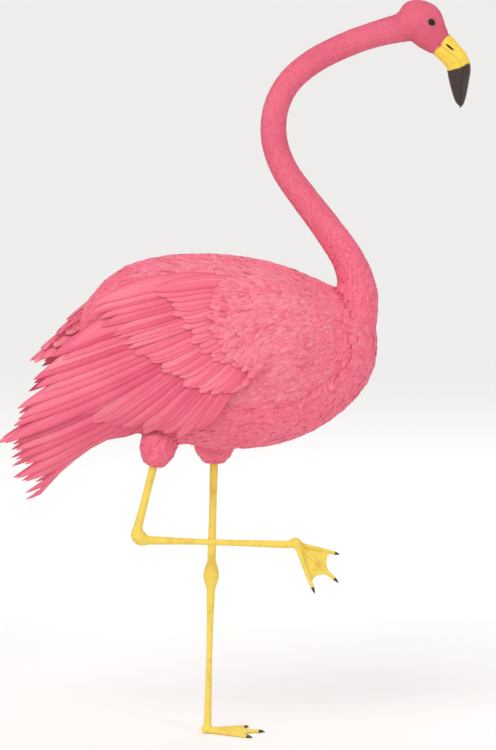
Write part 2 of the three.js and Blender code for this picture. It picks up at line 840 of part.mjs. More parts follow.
add("torso", geometryOf(torso()), COLOUR.plumage, ROUGH.plumage);
add("head", geometryOf(head()), COLOUR.plumage, ROUGH.plumage);
add("tail", geometryOf(tail()), COLOUR.plumage, ROUGH.plumage);
for (const [name, piece] of neck()) add(name, piece, COLOUR.plumage, ROUGH.plumage);
for (const [name, piece, colour] of bill()) add(name, geometryOf(piece), colour, ROUGH.horn);
add("eye_left", eyeball(1, EYE.ball), COLOUR.eye, ROUGH.eye);
add("eye_right", eyeball(-1, EYE.ball), COLOUR.eye, ROUGH.eye);
add("wing_left", geometryOf(wing(WING.seeds.left)), COLOUR.plumage, ROUGH.plumage);
const wingRight = geometryOf(wing(WING.seeds.right));
add("wing_right", wingRight, COLOUR.plumage, ROUGH.plumage).scale.set(1, -1, 1);

const places = legPlaces();
const footTurns = {
  standing: new THREE.Euler(0, 0, 0),
  lifted: new THREE.Euler(radians(LIFTED.toesTwist), radians(LIFTED.toesDown), 0, "YXZ"),
};

for (const [pose, side] of [["standing", "left"], ["lifted", "right"]]) {
  const { hip, hock: knob, sole, ankle, down, onward } = places[pose];
  const feathers = solid(thigh(THIGH[pose], hip, down)).subtract(trunk(GAP));
  add(`thigh_${side}`, geometryOf(feathers), COLOUR.plumage, ROUGH.plumage);
  const above = knob.clone().addScaledVector(down, -LEG.hockLong / 2);
  const below = knob.clone().addScaledVector(onward, LEG.hockLong / 2);
  add(`tibia_${side}`, bone(hip, above, LEG.tibia, 3), COLOUR.leg, ROUGH.skin);
  add(`hock_${side}`, hock(knob, down, onward), COLOUR.leg, ROUGH.skin);
  add(`tarsus_${side}`, bone(below, ankle, LEG.tarsus, 6), COLOUR.leg, ROUGH.skin);

  const paw = new THREE.Group();
  paw.position.copy(sole);
  paw.rotation.copy(footTurns[pose]);
  paw.updateMatrix();
  bird.add(paw);
  const inFoot = ankle.clone().applyMatrix4(paw.matrix.clone().invert());
  add(`foot_${side}`, geometryOf(foot(inFoot)), COLOUR.leg, ROUGH.skin, paw);
  for (const row of FOOT.toes) {
    add(`claw_${side}_${row[0]}`, claw(row), COLOUR.dark, ROUGH.horn, paw);
  }
}

const figure = new THREE.Group();
figure.add(bird);
const box = new THREE.Box3().setFromObject(bird);
const base = box.getCenter(vec(0, 0, 0)).setZ(box.min.z);
bird.position.sub(base);

export default figure;
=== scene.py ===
"""The looks of a life-size flamingo that stands on its left leg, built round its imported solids.

Lengths are millimetres in the bird's own layout: the floor is z 0, the bird faces +x and its left side is +y.
They become metres in the frame's own place when a mesh is made."""

import math

import bmesh
import bpy
import numpy as np
from mathutils import Matrix, Vector
from mathutils.bvhtree import BVHTree


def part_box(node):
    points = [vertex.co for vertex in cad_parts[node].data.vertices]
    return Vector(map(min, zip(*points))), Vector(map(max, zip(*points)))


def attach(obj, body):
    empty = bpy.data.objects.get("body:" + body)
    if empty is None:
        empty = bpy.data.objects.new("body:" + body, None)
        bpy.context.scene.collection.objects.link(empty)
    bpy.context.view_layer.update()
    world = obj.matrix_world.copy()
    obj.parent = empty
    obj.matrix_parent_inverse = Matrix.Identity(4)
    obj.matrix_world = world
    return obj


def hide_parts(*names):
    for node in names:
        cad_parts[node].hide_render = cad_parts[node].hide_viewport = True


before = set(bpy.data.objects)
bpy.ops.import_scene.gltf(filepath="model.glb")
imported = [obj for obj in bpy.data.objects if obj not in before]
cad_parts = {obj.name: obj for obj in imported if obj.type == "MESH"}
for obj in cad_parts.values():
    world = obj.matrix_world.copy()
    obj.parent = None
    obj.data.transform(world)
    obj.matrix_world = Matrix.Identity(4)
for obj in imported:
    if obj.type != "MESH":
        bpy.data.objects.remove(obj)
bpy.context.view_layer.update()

# ---------------------------------------------------------------- sizes

MM = 0.001
RUMP_END = -225.6  # x of the trunk's rear end in the layout
ORIGIN = np.array([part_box("torso")[0].x / MM - RUMP_END, 0, 0])

# Trunk: x, height of the middle, half height and half width, from the wing tips to the breast
TRUNK = [
    [-340, 430, 130, 18], [-286, 456, 128, 26], [-230, 526, 126, 40], [-150, 580, 125, 62],
    [-80, 586, 139, 82], [0, 581, 149, 92], [80, 577, 143, 91], [150, 576, 125, 83],
    [200, 580, 112, 76], [252, 590, 104, 68],
]
FULLNESS = 2.4  # of the trunk's sections: 2 is an ellipse
BREAST = [90, 252]  # x from where the breast rounds off, and its foremost point

# Neck: x, z and half thickness, from inside the head to inside the breast
NECK = [
    [302, 1068, 24], [252, 1056, 22], [198, 1037, 21], [150, 1012, 21], [116, 982, 21], [97, 944, 21.5],
    [94, 900, 22], [108, 856, 22.5], [138, 812, 23.5], [176, 762, 25], [208, 712, 27.5], [220, 664, 34],
    [208, 606, 40], [192, 536, 30],
]

HEAD_AT = [316, 0, 1068]
HEAD_TILT = math.radians(38)  # how far the face points below level
HEAD_FRONT = 37  # where the skull ends and the bill starts, along the face

EYE = {"along": 6, "up": 9, "out": 17.7, "ball": 7.8, "turn": [11, 5]}
# Section through a lid: the way from the pupil, and out from the eye's middle
LID = [
    [4.7, 4.6], [4.85, 5.75], [5.2, 6.25], [5.7, 6.2], [6.3, 5.8], [7.1, 5.3], [8.2, 4.6], [9.6, 3.4],
    [9.6, -2], [7.4, -2], [5.6, 0.5],
]
LID_SHAPE = {"points": 36, "steps": 84, "along": 1.07, "up": 0.93, "corner": 0.5, "skirt": [5.9, 8.8], "socket": 9.1}
BARE_ROUND_EYE = 6.9  # the face's feathers start this far from the pupil

BILL = {
    "straight": 29, "bend_radius": 29, "bend": math.radians(56), "tip": 51, "mouth_up": -9, "gap": 0.1,
    "square": 0.9, "dark_from": 0.43, "lower_ends": 0.968, "starts": -0.03,
}
# share of the bill's length, depth of the upper half, depth of the lower half, half width
BILL_DEPTHS = [
    [-0.05, 22.7, 16.2, 15], [0, 22.5, 16.5, 15], [0.15, 19.5, 17.5, 14.4], [0.3, 16, 20, 13.6],
    [0.43, 13.5, 22, 12.8], [0.56, 11.5, 20.5, 11.6], [0.7, 10, 16, 10], [0.85, 8, 10, 7.6],
    [0.955, 5.6, 4.6, 5], [0.985, 3.6, 3, 3.4], [1, 1.2, 0.8, 1.2],
]
NOSTRIL = {"along": 14, "up": 7, "out": 14, "long": 8, "high": 1.7, "deep": 2.6}

TIBIA = [6.4, 5.6, 6.4]  # half thicknesses from the top down
KNOB = [6.4, 9.6, 11.8, 10.2, 6.6]
SHANK = [6.6, 4.9, 4.5, 4.9, 5.6]
KNOB_LONG, SHANK_LONG, ANKLE_LONG = 42, 203, 16
STANDING = {"hip": [4, 32, 405], "sole": [-6, 0, 0], "thigh": [6, 14, 480]}
LIFTED = {"hip": [-86, -35, 410], "knob": [-114, -35, 300], "thigh": [-72, -14, 480]}
LIFTED_DROP, LIFTED_SWING = math.radians(2), math.radians(1.5)
TOES_DOWN, TOES_TWIST = math.radians(42), math.radians(48)
TOES = {"inner": [33, 66, 2.9], "middle": [0, 78, 3], "outer": [-33, 72, 2.9]}  # degrees, length, half thickness
CLAW = {"long": 9, "halves": [0.94, 0.86, 0.74, 0.56, 0.35, 0.12], "sole": 1}
SCUTE = 4.2  # length of a leg's scutes

WING_ROOT = [118, 672]  # x and z of the shoulder, which the wing's feathers spread from
ROLL = 0.16  # a wing feather rises from its upper edge to its lower one, which covers the next
TAIL_ROOT = [-150, 0, 662]
TAIL_SLOPE = math.radians(39)

SKIN_GRAIN = 1.5  # voxel of the skin's mesh
COAT_DEPTH = {"trunk": 5.0, "neck": 2.6, "face": 1.1}


def unit(v):
    return v / np.maximum(np.linalg.norm(v, axis=-1, keepdims=True), 1e-9)


def through(rows):
    """A smooth curve through rows of numbers: the first number says where, the rest are values."""
    rows = np.array(rows, float)
    place, value = rows[:, 0], rows[:, 1:]
    gap = np.diff(place)[:, None]
    slope = np.empty_like(value)
    slope[1:-1] = (value[2:] - value[:-2]) / (gap[1:] + gap[:-1])
    slope[0] = (value[1] - value[0]) / gap[0]
    slope[-1] = (value[-1] - value[-2]) / gap[-1]

    def at(x):
        x = np.clip(np.asarray(x, float), place[0], place[-1])
        i = np.clip(np.searchsorted(place, x, side="right") - 1, 0, len(place) - 2)
        h = gap[i]
        s = ((x - place[i]) / h[..., 0])[..., None]
        start = value[i] * (1 + 2 * s) * (1 - s) ** 2 + slope[i] * h * s * (1 - s) ** 2
        return start + value[i + 1] * s**2 * (3 - 2 * s) - slope[i + 1] * h * s**2 * (1 - s)

    return at


def evenly(values):
    """A smooth curve through values spread evenly over a share from 0 to 1."""
    return through([[i / (len(values) - 1), v] for i, v in enumerate(values)])


def course(points):
    """A curve through points by a share of its length from 0 to 1, and that length."""
    points = np.array(points, float)
    run = np.r_[0, np.cumsum(np.linalg.norm(np.diff(points[:, :3], axis=0), axis=1))]
    return through(np.column_stack([run / run[-1], points])), run[-1]


def smoothly(x, low, high):
    """0 below low and 1 above high, with soft ends."""
    s = np.clip((x - low) / (high - low), 0, 1)
    return s * s * (3 - 2 * s)


# ---------------------------------------------------------------- the head's own frame

HEAD = Matrix.Translation(HEAD_AT) @ Matrix.Rotation(HEAD_TILT, 4, "Y")
HEAD_TURN = np.array(HEAD.to_3x3())


def from_head(points):
    return np.asarray(points, float) @ HEAD_TURN.T + HEAD_AT


def to_head(points):
    return (points - HEAD_AT) @ HEAD_TURN


# ---------------------------------------------------------------- the trunk's surface

trunk_at = through(TRUNK)


def section(x):
    """The trunk's section at x: height of its middle, half height and half width."""
    z, high, wide = np.moveaxis(trunk_at(x), -1, 0)
    share = np.clip((x - BREAST[0]) / (BREAST[1] - BREAST[0]), 0, 0.99)
    shrink = (1 - share**FULLNESS) ** (1 / FULLNESS)
    return z, high * shrink, wide * shrink


def on_trunk(x, angle, lift):
    """A point of the left side, angle down from the ridge of the back, raised off the trunk."""
    def point(x, angle):
        z, high, wide = section(x)
        out, up = np.sin(angle), np.cos(angle)
        out, up = (np.sign(s) * np.abs(s) ** (2 / FULLNESS) for s in (out, up))
        return np.stack([x, wide * out, z + high * up], -1)

    back = point(x - 1, angle) - point(x + 1, angle)
    down = point(x, angle + 0.01) - point(x, angle - 0.01)
    return point(x, angle) + unit(np.cross(down, back)) * np.asarray(lift, float)[..., None]


def drop_on(p, lift):
    """The point over the left side that is nearest to p, raised off the trunk."""
    z, high, wide = section(p[..., 0])
    part_out, part_up = p[..., 1] / wide, (p[..., 2] - z) / high
    part_out, part_up = (np.sign(s) * np.abs(s) ** (FULLNESS / 2) for s in (part_out, part_up))
    return on_trunk(p[..., 0], np.arctan2(part_out, part_up), lift)


def on_wing(degrees, reach, lift):
    """A point of the left wing: degrees below level at the shoulder, and the way from it."""
    turn = np.radians(degrees)
    x = WING_ROOT[0] - reach * np.cos(turn)
    z = WING_ROOT[1] - reach * np.sin(turn)
    middle, high, _ = section(x)
    up = np.clip((z - middle) / high, -0.97, 0.97)
    return on_trunk(x, np.arccos(np.sign(up) * np.abs(up) ** (FULLNESS / 2)), lift)


# ---------------------------------------------------------------- meshes

def to_frame(points):
    return (np.asarray(points, float) + ORIGIN) * MM


def piece(bm, name, materials, placed=False):
    """A finished object of a bmesh, whose corners are in the layout's millimetres unless placed."""
    if not placed:
        bmesh.ops.translate(bm, vec=Vector(ORIGIN), verts=bm.verts)
        bmesh.ops.scale(bm, vec=Vector((MM, MM, MM)), verts=bm.verts)
    mesh = bpy.data.meshes.new(name)
    bm.to_mesh(mesh)
    bm.free()
    return shown(mesh, name, materials)


def mesh_of(bm, name):
    """A mesh in the frame's metres of a bmesh in the layout's millimetres, which stays as it is."""
    mesh = bpy.data.meshes.new(name)
    bm.to_mesh(mesh)
    put_places(mesh, np.array([v.co for v in bm.verts]))
    return mesh


def shown(mesh, name, materials, sharp=55):
    mesh.shade_smooth()
    mesh.set_sharp_from_angle(angle=math.radians(sharp))
    for material in materials:
        mesh.materials.append(material)
    made = bpy.data.objects.new(name, mesh)
    bpy.context.scene.collection.objects.link(made)
    return made


def places_of(mesh):
    """The corners of a mesh in the layout's millimetres."""
    co = np.empty(len(mesh.vertices) * 3)
    mesh.vertices.foreach_get("co", co)
    return co.reshape(-1, 3) / MM - ORIGIN


def put_places(mesh, places):
    mesh.vertices.foreach_set("co", to_frame(places).ravel())
    mesh.update()


def normals_of(mesh):
    out = np.empty(len(mesh.vertices) * 3)
    mesh.vertex_normals.foreach_get("vector", out)
    return out.reshape(-1, 3)


def mark(mesh, name, values):
    """Keeps a number for each corner, for the material to read."""
    attribute = mesh.attributes.get(name) or mesh.attributes.new(name, "FLOAT", "POINT")
    attribute.data.foreach_set("value", np.asarray(values, np.float32))


def with_modifiers(obj, *steps):
    """The mesh of an object after modifiers, each a kind and its settings."""
    for kind, settings in steps:
        modifier = obj.modifiers.new(kind, kind)
        for name, value in settings.items():
            setattr(modifier, name, value)
    seen = obj.evaluated_get(bpy.context.evaluated_depsgraph_get())
    mesh = bpy.data.meshes.new_from_object(seen)
    bpy.data.objects.remove(obj)
    return mesh


def sweep(bm, outline, frames):
    """Pulls a closed outline of edges through frames, each from the outline's own place, and closes both ends."""
    edges = list(outline)
    start = list(edges)
    corners = list({v for e in edges for v in e.verts})
    bmesh.ops.transform(bm, matrix=frames[0], verts=corners)
    for before, after in zip(frames, frames[1:]):
        pulled = bmesh.ops.extrude_edge_only(bm, edges=edges)["geom"]
        corners = [g for g in pulled if isinstance(g, bmesh.types.BMVert)]
        fresh = set(corners)
        edges = [g for g in pulled if isinstance(g, bmesh.types.BMEdge) and fresh.issuperset(g.verts)]
        bmesh.ops.transform(bm, matrix=after @ before.inverted(), verts=corners)
    for rim in (start, edges):
        bmesh.ops.contextual_create(bm, geom=rim)
    face_outward(bm)


def ring_frame(middle, onward, across, wide, high):
    """The place of a unit circle whose plane is square to a limb."""
    onward = Vector(onward).normalized()
    across = (Vector(across) - onward * onward.dot(Vector(across))).normalized()
    up = onward.cross(across)
    turn = Matrix((across * wide, up * high, onward)).transposed().to_4x4()
    return Matrix.Translation(Vector(middle)) @ turn


def tube(bm, points, halves, around, across=(0, 1, 0)):
    """A closed round limb along points, with its half thicknesses."""
    points = np.asarray(points, float)
    onward = np.gradient(points, axis=0)
    circle = bmesh.ops.create_circle(bm, segments=around, radius=1)["verts"]
    outline = list({e for v in circle for e in v.link_edges})
    frames = [ring_frame(p, w, across, h, h) for p, w, h in zip(points, onward, halves)]
    sweep(bm, outline, frames)


def face_outward(bm):
    """Turns the faces of a closed shape outward."""
    bmesh.ops.recalc_face_normals(bm, faces=bm.faces)
    if bm.calc_volume(signed=True) < 0:
        bmesh.ops.reverse_faces(bm, faces=bm.faces)


def corners_of(bm):
    """The corners and faces of a bmesh as arrays, for what is repeated."""
    bm.verts.index_update()
    places = np.array([v.co for v in bm.verts])
    faces = [np.array([v.index for v in f.verts]) for f in bm.faces]
    return places, faces


def tuft_shape(rows, halves, sag):
    """A small closed feather: share of its length, place across it from -1 to 1, and rise of its ridge.
    Its rows of three corners start in a point, and its underside is one face."""
    bm = bmesh.new()
    bmesh.ops.create_grid(bm, x_segments=len(rows) - 1, y_segments=2, size=0.5)
    columns = sorted({round(v.co.x, 4) for v in bm.verts})
    for v in bm.verts:
        i = columns.index(round(v.co.x, 4))
        side = round(v.co.y * 2)
        v.co = Vector((rows[i] - (sag[i] if side else 0), side * halves[i], 0 if side else 1))
    for i in (0, len(rows) - 1):
        if halves[i] == 0:
            end = [v for v in bm.verts if abs(v.co.x - rows[i]) < 1e-5 and v.co.y == 0]
            for v in end:
                v.co.z = 0
            bmesh.ops.remove_doubles(bm, verts=[v for v in bm.verts if abs(v.co.x - rows[i]) < 1e-5], dist=1e-4)
    rim = [e for e in bm.edges if e.is_boundary]
    bmesh.ops.contextual_create(bm, geom=rim)
    bmesh.ops.triangulate(bm, faces=bm.faces)
    face_outward(bm)
    shape = corners_of(bm)
    bm.free()
    return shape


def vane_shape(rows, across):
    """A long feather as a thin closed sheet: share of its length, place across it, and 1 on its outer face."""
    bm = bmesh.new()
    bmesh.ops.create_grid(bm, x_segments=len(rows) - 1, y_segments=len(across) - 1, size=0.5)
    outer = bmesh.ops.extrude_face_region(bm, geom=bm.faces[:], use_keep_orig=True)["geom"]
    bmesh.ops.translate(bm, vec=(0, 0, 1), verts=[g for g in outer if isinstance(g, bmesh.types.BMVert)])
    long, wide = (sorted({round(v.co[axis], 4) for v in bm.verts}) for axis in (0, 1))
    for v in bm.verts:
        v.co.x = rows[long.index(round(v.co.x, 4))]
        v.co.y = across[wide.index(round(v.co.y, 4))]
    face_outward(bm)
    shape = corners_of(bm)
    bm.free()
    return shape


def inside_out(corners, faces):
    """Whether a closed shape's faces point inward."""
    middle = corners.mean(0)
    fans = [(f[0], f[i], f[i + 1]) for f in faces for i in range(1, len(f) - 1)]
    a, b, c = (corners[[fan[i] for fan in fans]] - middle for i in range(3))
    return (a * np.cross(b, c)).sum() < 0


def feather_mesh(name, sets):
    """One mesh of many feathers. Each set holds their corners (feather, corner, 3), the faces of one feather,
    the vane map and the bake map (feather, corner, 2), and the tint of each feather."""
    co, loops, sizes, vane, bake, tint = [], [], [], [], [], []
    start = 0
    for corners, faces, vane_map, bake_map, tints in sets:
        count, each = corners.shape[:2]
        if inside_out(corners[0], faces):
            faces = [f[::-1] for f in faces]
        flat = np.concatenate(faces)
        offsets = start + np.arange(count)[:, None] * each
        co.append(corners.reshape(-1, 3))
        loops.append((flat[None] + offsets).ravel())
        sizes.append(np.tile([len(f) for f in faces], count))
        vane.append(np.broadcast_to(vane_map, (count, each, 2))[:, flat].reshape(-1, 2))
        bake.append(bake_map[:, flat].reshape(-1, 2))
        tint.append(np.repeat(tints, each))
        start += count * each
    loops, sizes = np.concatenate(loops), np.concatenate(sizes)
    mesh = bpy.data.meshes.new(name)
    mesh.vertices.add(start)
    mesh.vertices.foreach_set("co", to_frame(np.concatenate(co)).ravel())
    mesh.loops.add(len(loops))
    mesh.loops.foreach_set("vertex_index", loops.astype(np.int32))
    mesh.polygons.add(len(sizes))
    mesh.polygons.foreach_set("loop_start", np.r_[0, np.cumsum(sizes)[:-1]].astype(np.int32))
    mesh.update(calc_edges=True)
    mark(mesh, "tint", np.concatenate(tint))
    for label, values in (("vane", vane), ("OFBake", bake)):
        layer = mesh.uv_layers.new(name=label)
        layer.data.foreach_set("uv", np.concatenate(values).astype(np.float32).ravel())
    return mesh


# ---------------------------------------------------------------- materials

def linear(hex_colour):
    """An sRGB hex value as the linear colour that a shader takes."""
    parts = [int(hex_colour[i : i + 2], 16) / 255 for i in (1, 3, 5)]
    return [c / 12.92 if c <= 0.04045 else ((c + 0.055) / 1.055) ** 2.4 for c in parts] + [1]


def node(tree, kind, sockets=(), links=(), **settings):
    """Adds a node: settings are its own properties, sockets the values of its inputs, and links what feeds them."""
    made = tree.nodes.new(kind)
    for name, value in settings.items():
        setattr(made, name, value)
    for name, value in dict(sockets).items():
        made.inputs[name].default_value = value
    for name, source in dict(links).items():
        tree.links.new(source, made.inputs[name])
    return made


def new_material(name):
    """An empty material, its node tree and its output."""
    material = bpy.data.materials.new(name)
    material.use_nodes = True
    material.node_tree.nodes.clear()
    return material, material.node_tree, node(material.node_tree, "ShaderNodeOutputMaterial")


def plumage(name, barbs, depth, deeper):
    """Contour feathers dyed by carotenoids: dull and soft, with a faint sheen along their edges, each a little
    lighter or deeper than the next. Their edges are deeper, partly their own darker rims and partly painted shade
    between overlapping feathers, their roots deeper as painted shade where other feathers lie over them, and their
    shafts paler, partly their own colour and partly a painted highlight. barbs is their real spacing of about 0.6 mm
    drawn as coarse as it shows, depth how strongly the edges, shafts and barbs stand out, and deeper how deep the
    pink is."""
    material, tree, output = new_material(name)
    where = node(tree, "ShaderNodeTexCoord").outputs["Object"]
    tint = node(tree, "ShaderNodeAttribute", attribute_name="tint").outputs["Fac"]
    vane = node(tree, "ShaderNodeUVMap", uv_map="vane").outputs["UV"]
    split = node(tree, "ShaderNodeSeparateXYZ", links={"Vector": vane})
    aside = node(tree, "ShaderNodeMath", {1: 0.5}, {0: split.outputs["X"]}, operation="SUBTRACT")
    aside = node(tree, "ShaderNodeMath", links={0: aside.outputs[0]}, operation="ABSOLUTE")
    # each barb leaves the shaft slantwise towards the tip
    slant = node(tree, "ShaderNodeMath", {1: -0.5}, {0: aside.outputs[0], 2: split.outputs["Y"]},
                 operation="MULTIPLY_ADD")
    barb = node(tree, "ShaderNodeMath", {1: barbs}, {0: slant.outputs[0]}, operation="MULTIPLY")
    wave = node(tree, "ShaderNodeMath", links={0: barb.outputs[0]}, operation="SINE")
    cloud = node(tree, "ShaderNodeTexNoise", {"Scale": 14, "Detail": 2}, {"Vector": where})
    patch = node(tree, "ShaderNodeMapRange",
                 {"From Min": 0.3, "From Max": 0.7, "To Min": 0.36 + deeper, "To Max": 0.5 + deeper},
                 {"Value": cloud.outputs["Fac"]})
    shade = node(tree, "ShaderNodeMath", {1: 0.06 * depth}, {0: tint, 2: patch.outputs[0]},
                 operation="MULTIPLY_ADD")
    # the vane's edges deeper: partly the feathers' own darker rims, partly painted shade between overlapping feathers
    rim = node(tree, "ShaderNodeMapRange", {"From Min": 0.3, "From Max": 0.5, "To Min": 0, "To Max": 0.12 * depth},
               {"Value": aside.outputs[0]})
    # deeper towards the root: painted shade where other feathers lie over it
    root = node(tree, "ShaderNodeMapRange", {"From Min": 0.75, "From Max": 0, "To Min": 0, "To Max": 0.22},
                {"Value": split.outputs["Y"]})
    # a paler shaft: partly the shaft's own paler colour, partly a painted highlight
    shaft = node(tree, "ShaderNodeMapRange", {"From Min": 0.045, "From Max": 0.02, "To Max": -0.12 * depth},
                 {"Value": aside.outputs[0]})
    for part in (rim, root, shaft):
        shade = node(tree, "ShaderNodeMath", links={0: shade.outputs[0], 1: part.outputs[0]}, operation="ADD")
    streak = node(tree, "ShaderNodeMath", {1: 0.025 * depth}, {0: wave.outputs[0], 2: shade.outputs[0]},
                  operation="MULTIPLY_ADD")
    ramp = node(tree, "ShaderNodeValToRGB", links={"Fac": streak.outputs[0]})
    ramp.color_ramp.elements[0].position, ramp.color_ramp.elements[0].color = 0.15, linear("#f792a2")
    ramp.color_ramp.elements[1].position, ramp.color_ramp.elements[1].color = 0.95, linear("#d8486a")
    middle = ramp.color_ramp.elements.new(0.5)
    middle.color = linear("#f0728a")
    bump = node(tree, "ShaderNodeBump", {"Strength": 0.35, "Distance": 0.0002}, {"Height": wave.outputs[0]})
    shader = node(
        tree, "ShaderNodeBsdfPrincipled",
        {"Roughness": 0.72, "Sheen Weight": 0.25, "Sheen Roughness": 0.4, "Sheen Tint": linear("#ffd0d6"),
         "Specular IOR Level": 0.25},
        {"Base Color": ramp.outputs["Color"], "Normal": bump.outputs["Normal"]},
    )
    tree.links.new(shader.outputs[0], output.inputs["Surface"])
    return material


def bird_skin():
    """Thin skin under the coat: the coat's pink, finely pored, a little damp where the lids are bare."""
    material, tree, output = new_material("bird_skin")
    where = node(tree, "ShaderNodeTexCoord").outputs["Object"]
    patch = node(tree, "ShaderNodeTexNoise", {"Scale": 40, "Detail": 3}, {"Vector": where})
    pores = node(tree, "ShaderNodeTexVoronoi", {"Scale": 900}, {"Vector": where})
    bare = node(tree, "ShaderNodeAttribute", attribute_name="bare").outputs["Fac"]
    ramp = node(tree, "ShaderNodeValToRGB", links={"Fac": patch.outputs["Fac"]})
    ramp.color_ramp.elements[0].position, ramp.color_ramp.elements[0].color = 0.3, linear("#ea6880")
    ramp.color_ramp.elements[1].position, ramp.color_ramp.elements[1].color = 0.75, linear("#d94f6d")
    lid = node(tree, "ShaderNodeMix", {7: linear("#c65a70")}, {0: bare, 6: ramp.outputs["Color"]}, data_type="RGBA")
    bump = node(tree, "ShaderNodeBump", {"Strength": 0.4, "Distance": 0.0002}, {"Height": pores.outputs["Distance"]})
    shader = node(
        tree, "ShaderNodeBsdfPrincipled", {"Roughness": 0.6, "Subsurface Weight": 0.1, "Subsurface Scale": 0.002},
        {"Base Color": lid.outputs[2], "Normal": bump.outputs["Normal"]},
    )
    tree.links.new(shader.outputs[0], output.inputs["Surface"])
    return material


def bill_horn():
    """Keratin over bone: waxy yellow with fine lengthwise growth streaks, and a dark glossy tip with a soft edge."""
    material, tree, output = new_material("bill_horn")
    where = node(tree, "ShaderNodeTexCoord").outputs["Object"]
    along = node(tree, "ShaderNodeAttribute", attribute_name="along").outputs["Fac"]
    wander = node(tree, "ShaderNodeTexNoise", {"Scale": 55, "Detail": 4}, {"Vector": where})
    edge = node(tree, "ShaderNodeMath", {1: 0.07}, {0: wander.outputs["Fac"], 2: along}, operation="MULTIPLY_ADD")
    start = BILL["dark_from"] + 0.035
    dark = node(tree, "ShaderNodeMapRange", {"From Min": start - 0.01, "From Max": start + 0.012},
                {"Value": edge.outputs[0]}, interpolation_type="SMOOTHSTEP")
    stretch = node(tree, "ShaderNodeMapping", {"Scale": (90, 700, 260)}, {"Vector": where})
    streaks = node(tree, "ShaderNodeTexNoise", {"Scale": 1, "Detail": 3}, {"Vector": stretch.outputs[0]})
    yellow = node(tree, "ShaderNodeValToRGB", links={"Fac": streaks.outputs["Fac"]})
    yellow.color_ramp.elements[0].position, yellow.color_ramp.elements[0].color = 0.3, linear("#f6d54b")
    yellow.color_ramp.elements[1].position, yellow.color_ramp.elements[1].color = 0.8, linear("#e9bd2e")
    brown = node(tree, "ShaderNodeValToRGB", links={"Fac": streaks.outputs["Fac"]})
    brown.color_ramp.elements[0].position, brown.color_ramp.elements[0].color = 0.3, linear("#2b1b15")
    brown.color_ramp.elements[1].position, brown.color_ramp.elements[1].color = 0.8, linear("#402c23")
    colour = node(tree, "ShaderNodeMix", links={"Factor": dark.outputs[0]}, data_type="RGBA")
    tree.links.new(yellow.outputs[0], colour.inputs[6])
    tree.links.new(brown.outputs[0], colour.inputs[7])
    bump = node(tree, "ShaderNodeBump", {"Strength": 0.25, "Distance": 0.0002}, {"Height": streaks.outputs["Fac"]})
    shader = node(
        tree, "ShaderNodeBsdfPrincipled",
        {"Roughness": 0.36, "IOR": 1.54, "Subsurface Weight": 0.06, "Subsurface Scale": 0.003},
        {"Base Color": colour.outputs[2], "Normal": bump.outputs["Normal"]},
    )
    tree.links.new(shader.outputs[0], output.inputs["Surface"])
    return material


def slit_shade_lining():
    """The soft lining of the nostrils and the mouth: brown, slightly mottled, and dark as painted shade in the slits.
    """
    material, tree, output = new_material("slit_shade_lining")
    where = node(tree, "ShaderNodeTexCoord").outputs["Object"]
    patch = node(tree, "ShaderNodeTexNoise", {"Scale": 500, "Detail": 2}, {"Vector": where})
    ramp = node(tree, "ShaderNodeValToRGB", links={"Fac": patch.outputs["Fac"]})
    ramp.color_ramp.elements[0].position, ramp.color_ramp.elements[0].color = 0.3, linear("#2a1a12")
    ramp.color_ramp.elements[1].position, ramp.color_ramp.elements[1].color = 0.8, linear("#4a2f1c")
    shader = node(tree, "ShaderNodeBsdfPrincipled", {"Roughness": 0.55, "IOR": 1.4},
                  {"Base Color": ramp.outputs["Color"]})
    tree.links.new(shader.outputs[0], output.inputs["Surface"])
    return material


def scaled_leg():
    """Scaly leg skin: dry yellow horn plates about 4 mm long with darker creases, finely pebbled at the joints."""
    material, tree, output = new_material("scaled_leg_skin")
    where = node(tree, "ShaderNodeTexCoord").outputs["Object"]
    scute = node(tree, "ShaderNodeAttribute", attribute_name="scute").outputs["Fac"]
    pebbles = node(tree, "ShaderNodeTexVoronoi", {"Scale": 620}, {"Vector": where}, feature="DISTANCE_TO_EDGE")
    patch = node(tree, "ShaderNodeTexNoise", {"Scale": 70, "Detail": 3}, {"Vector": where})
    turn = node(tree, "ShaderNodeMath", links={0: scute}, operation="FRACT")
    crease = node(tree, "ShaderNodeMapRange", {"From Min": 0.0, "From Max": 0.14, "To Min": 0, "To Max": 1},
                  {"Value": turn.outputs[0]}, interpolation_type="SMOOTHSTEP")
    pebble = node(tree, "ShaderNodeMapRange", {"From Min": 0, "From Max": 0.12}, {"Value": pebbles.outputs["Distance"]})
    height = node(tree, "ShaderNodeMath", {1: 0.35}, {0: pebble.outputs[0], 2: crease.outputs[0]},
                  operation="MULTIPLY_ADD")
    fade = node(tree, "ShaderNodeMath", {1: 0.3}, {0: height.outputs[0], 2: patch.outputs["Fac"]},
                operation="MULTIPLY_ADD")
    ramp = node(tree, "ShaderNodeValToRGB", links={"Fac": fade.outputs[0]})
    ramp.color_ramp.elements[0].position, ramp.color_ramp.elements[0].color = 0.35, linear("#c79a2c")
    ramp.color_ramp.elements[1].position, ramp.color_ramp.elements[1].color = 0.85, linear("#f0d358")
    bump = node(tree, "ShaderNodeBump", {"Strength": 0.5, "Distance": 0.0003}, {"Height": height.outputs[0]})
    shader = node(
        tree, "ShaderNodeBsdfPrincipled",
        {"Roughness": 0.5, "IOR": 1.5, "Subsurface Weight": 0.05, "Subsurface Scale": 0.002},
        {"Base Color": ramp.outputs["Color"], "Normal": bump.outputs["Normal"]},
    )
    tree.links.new(shader.outputs[0], output.inputs["Surface"])
    return material


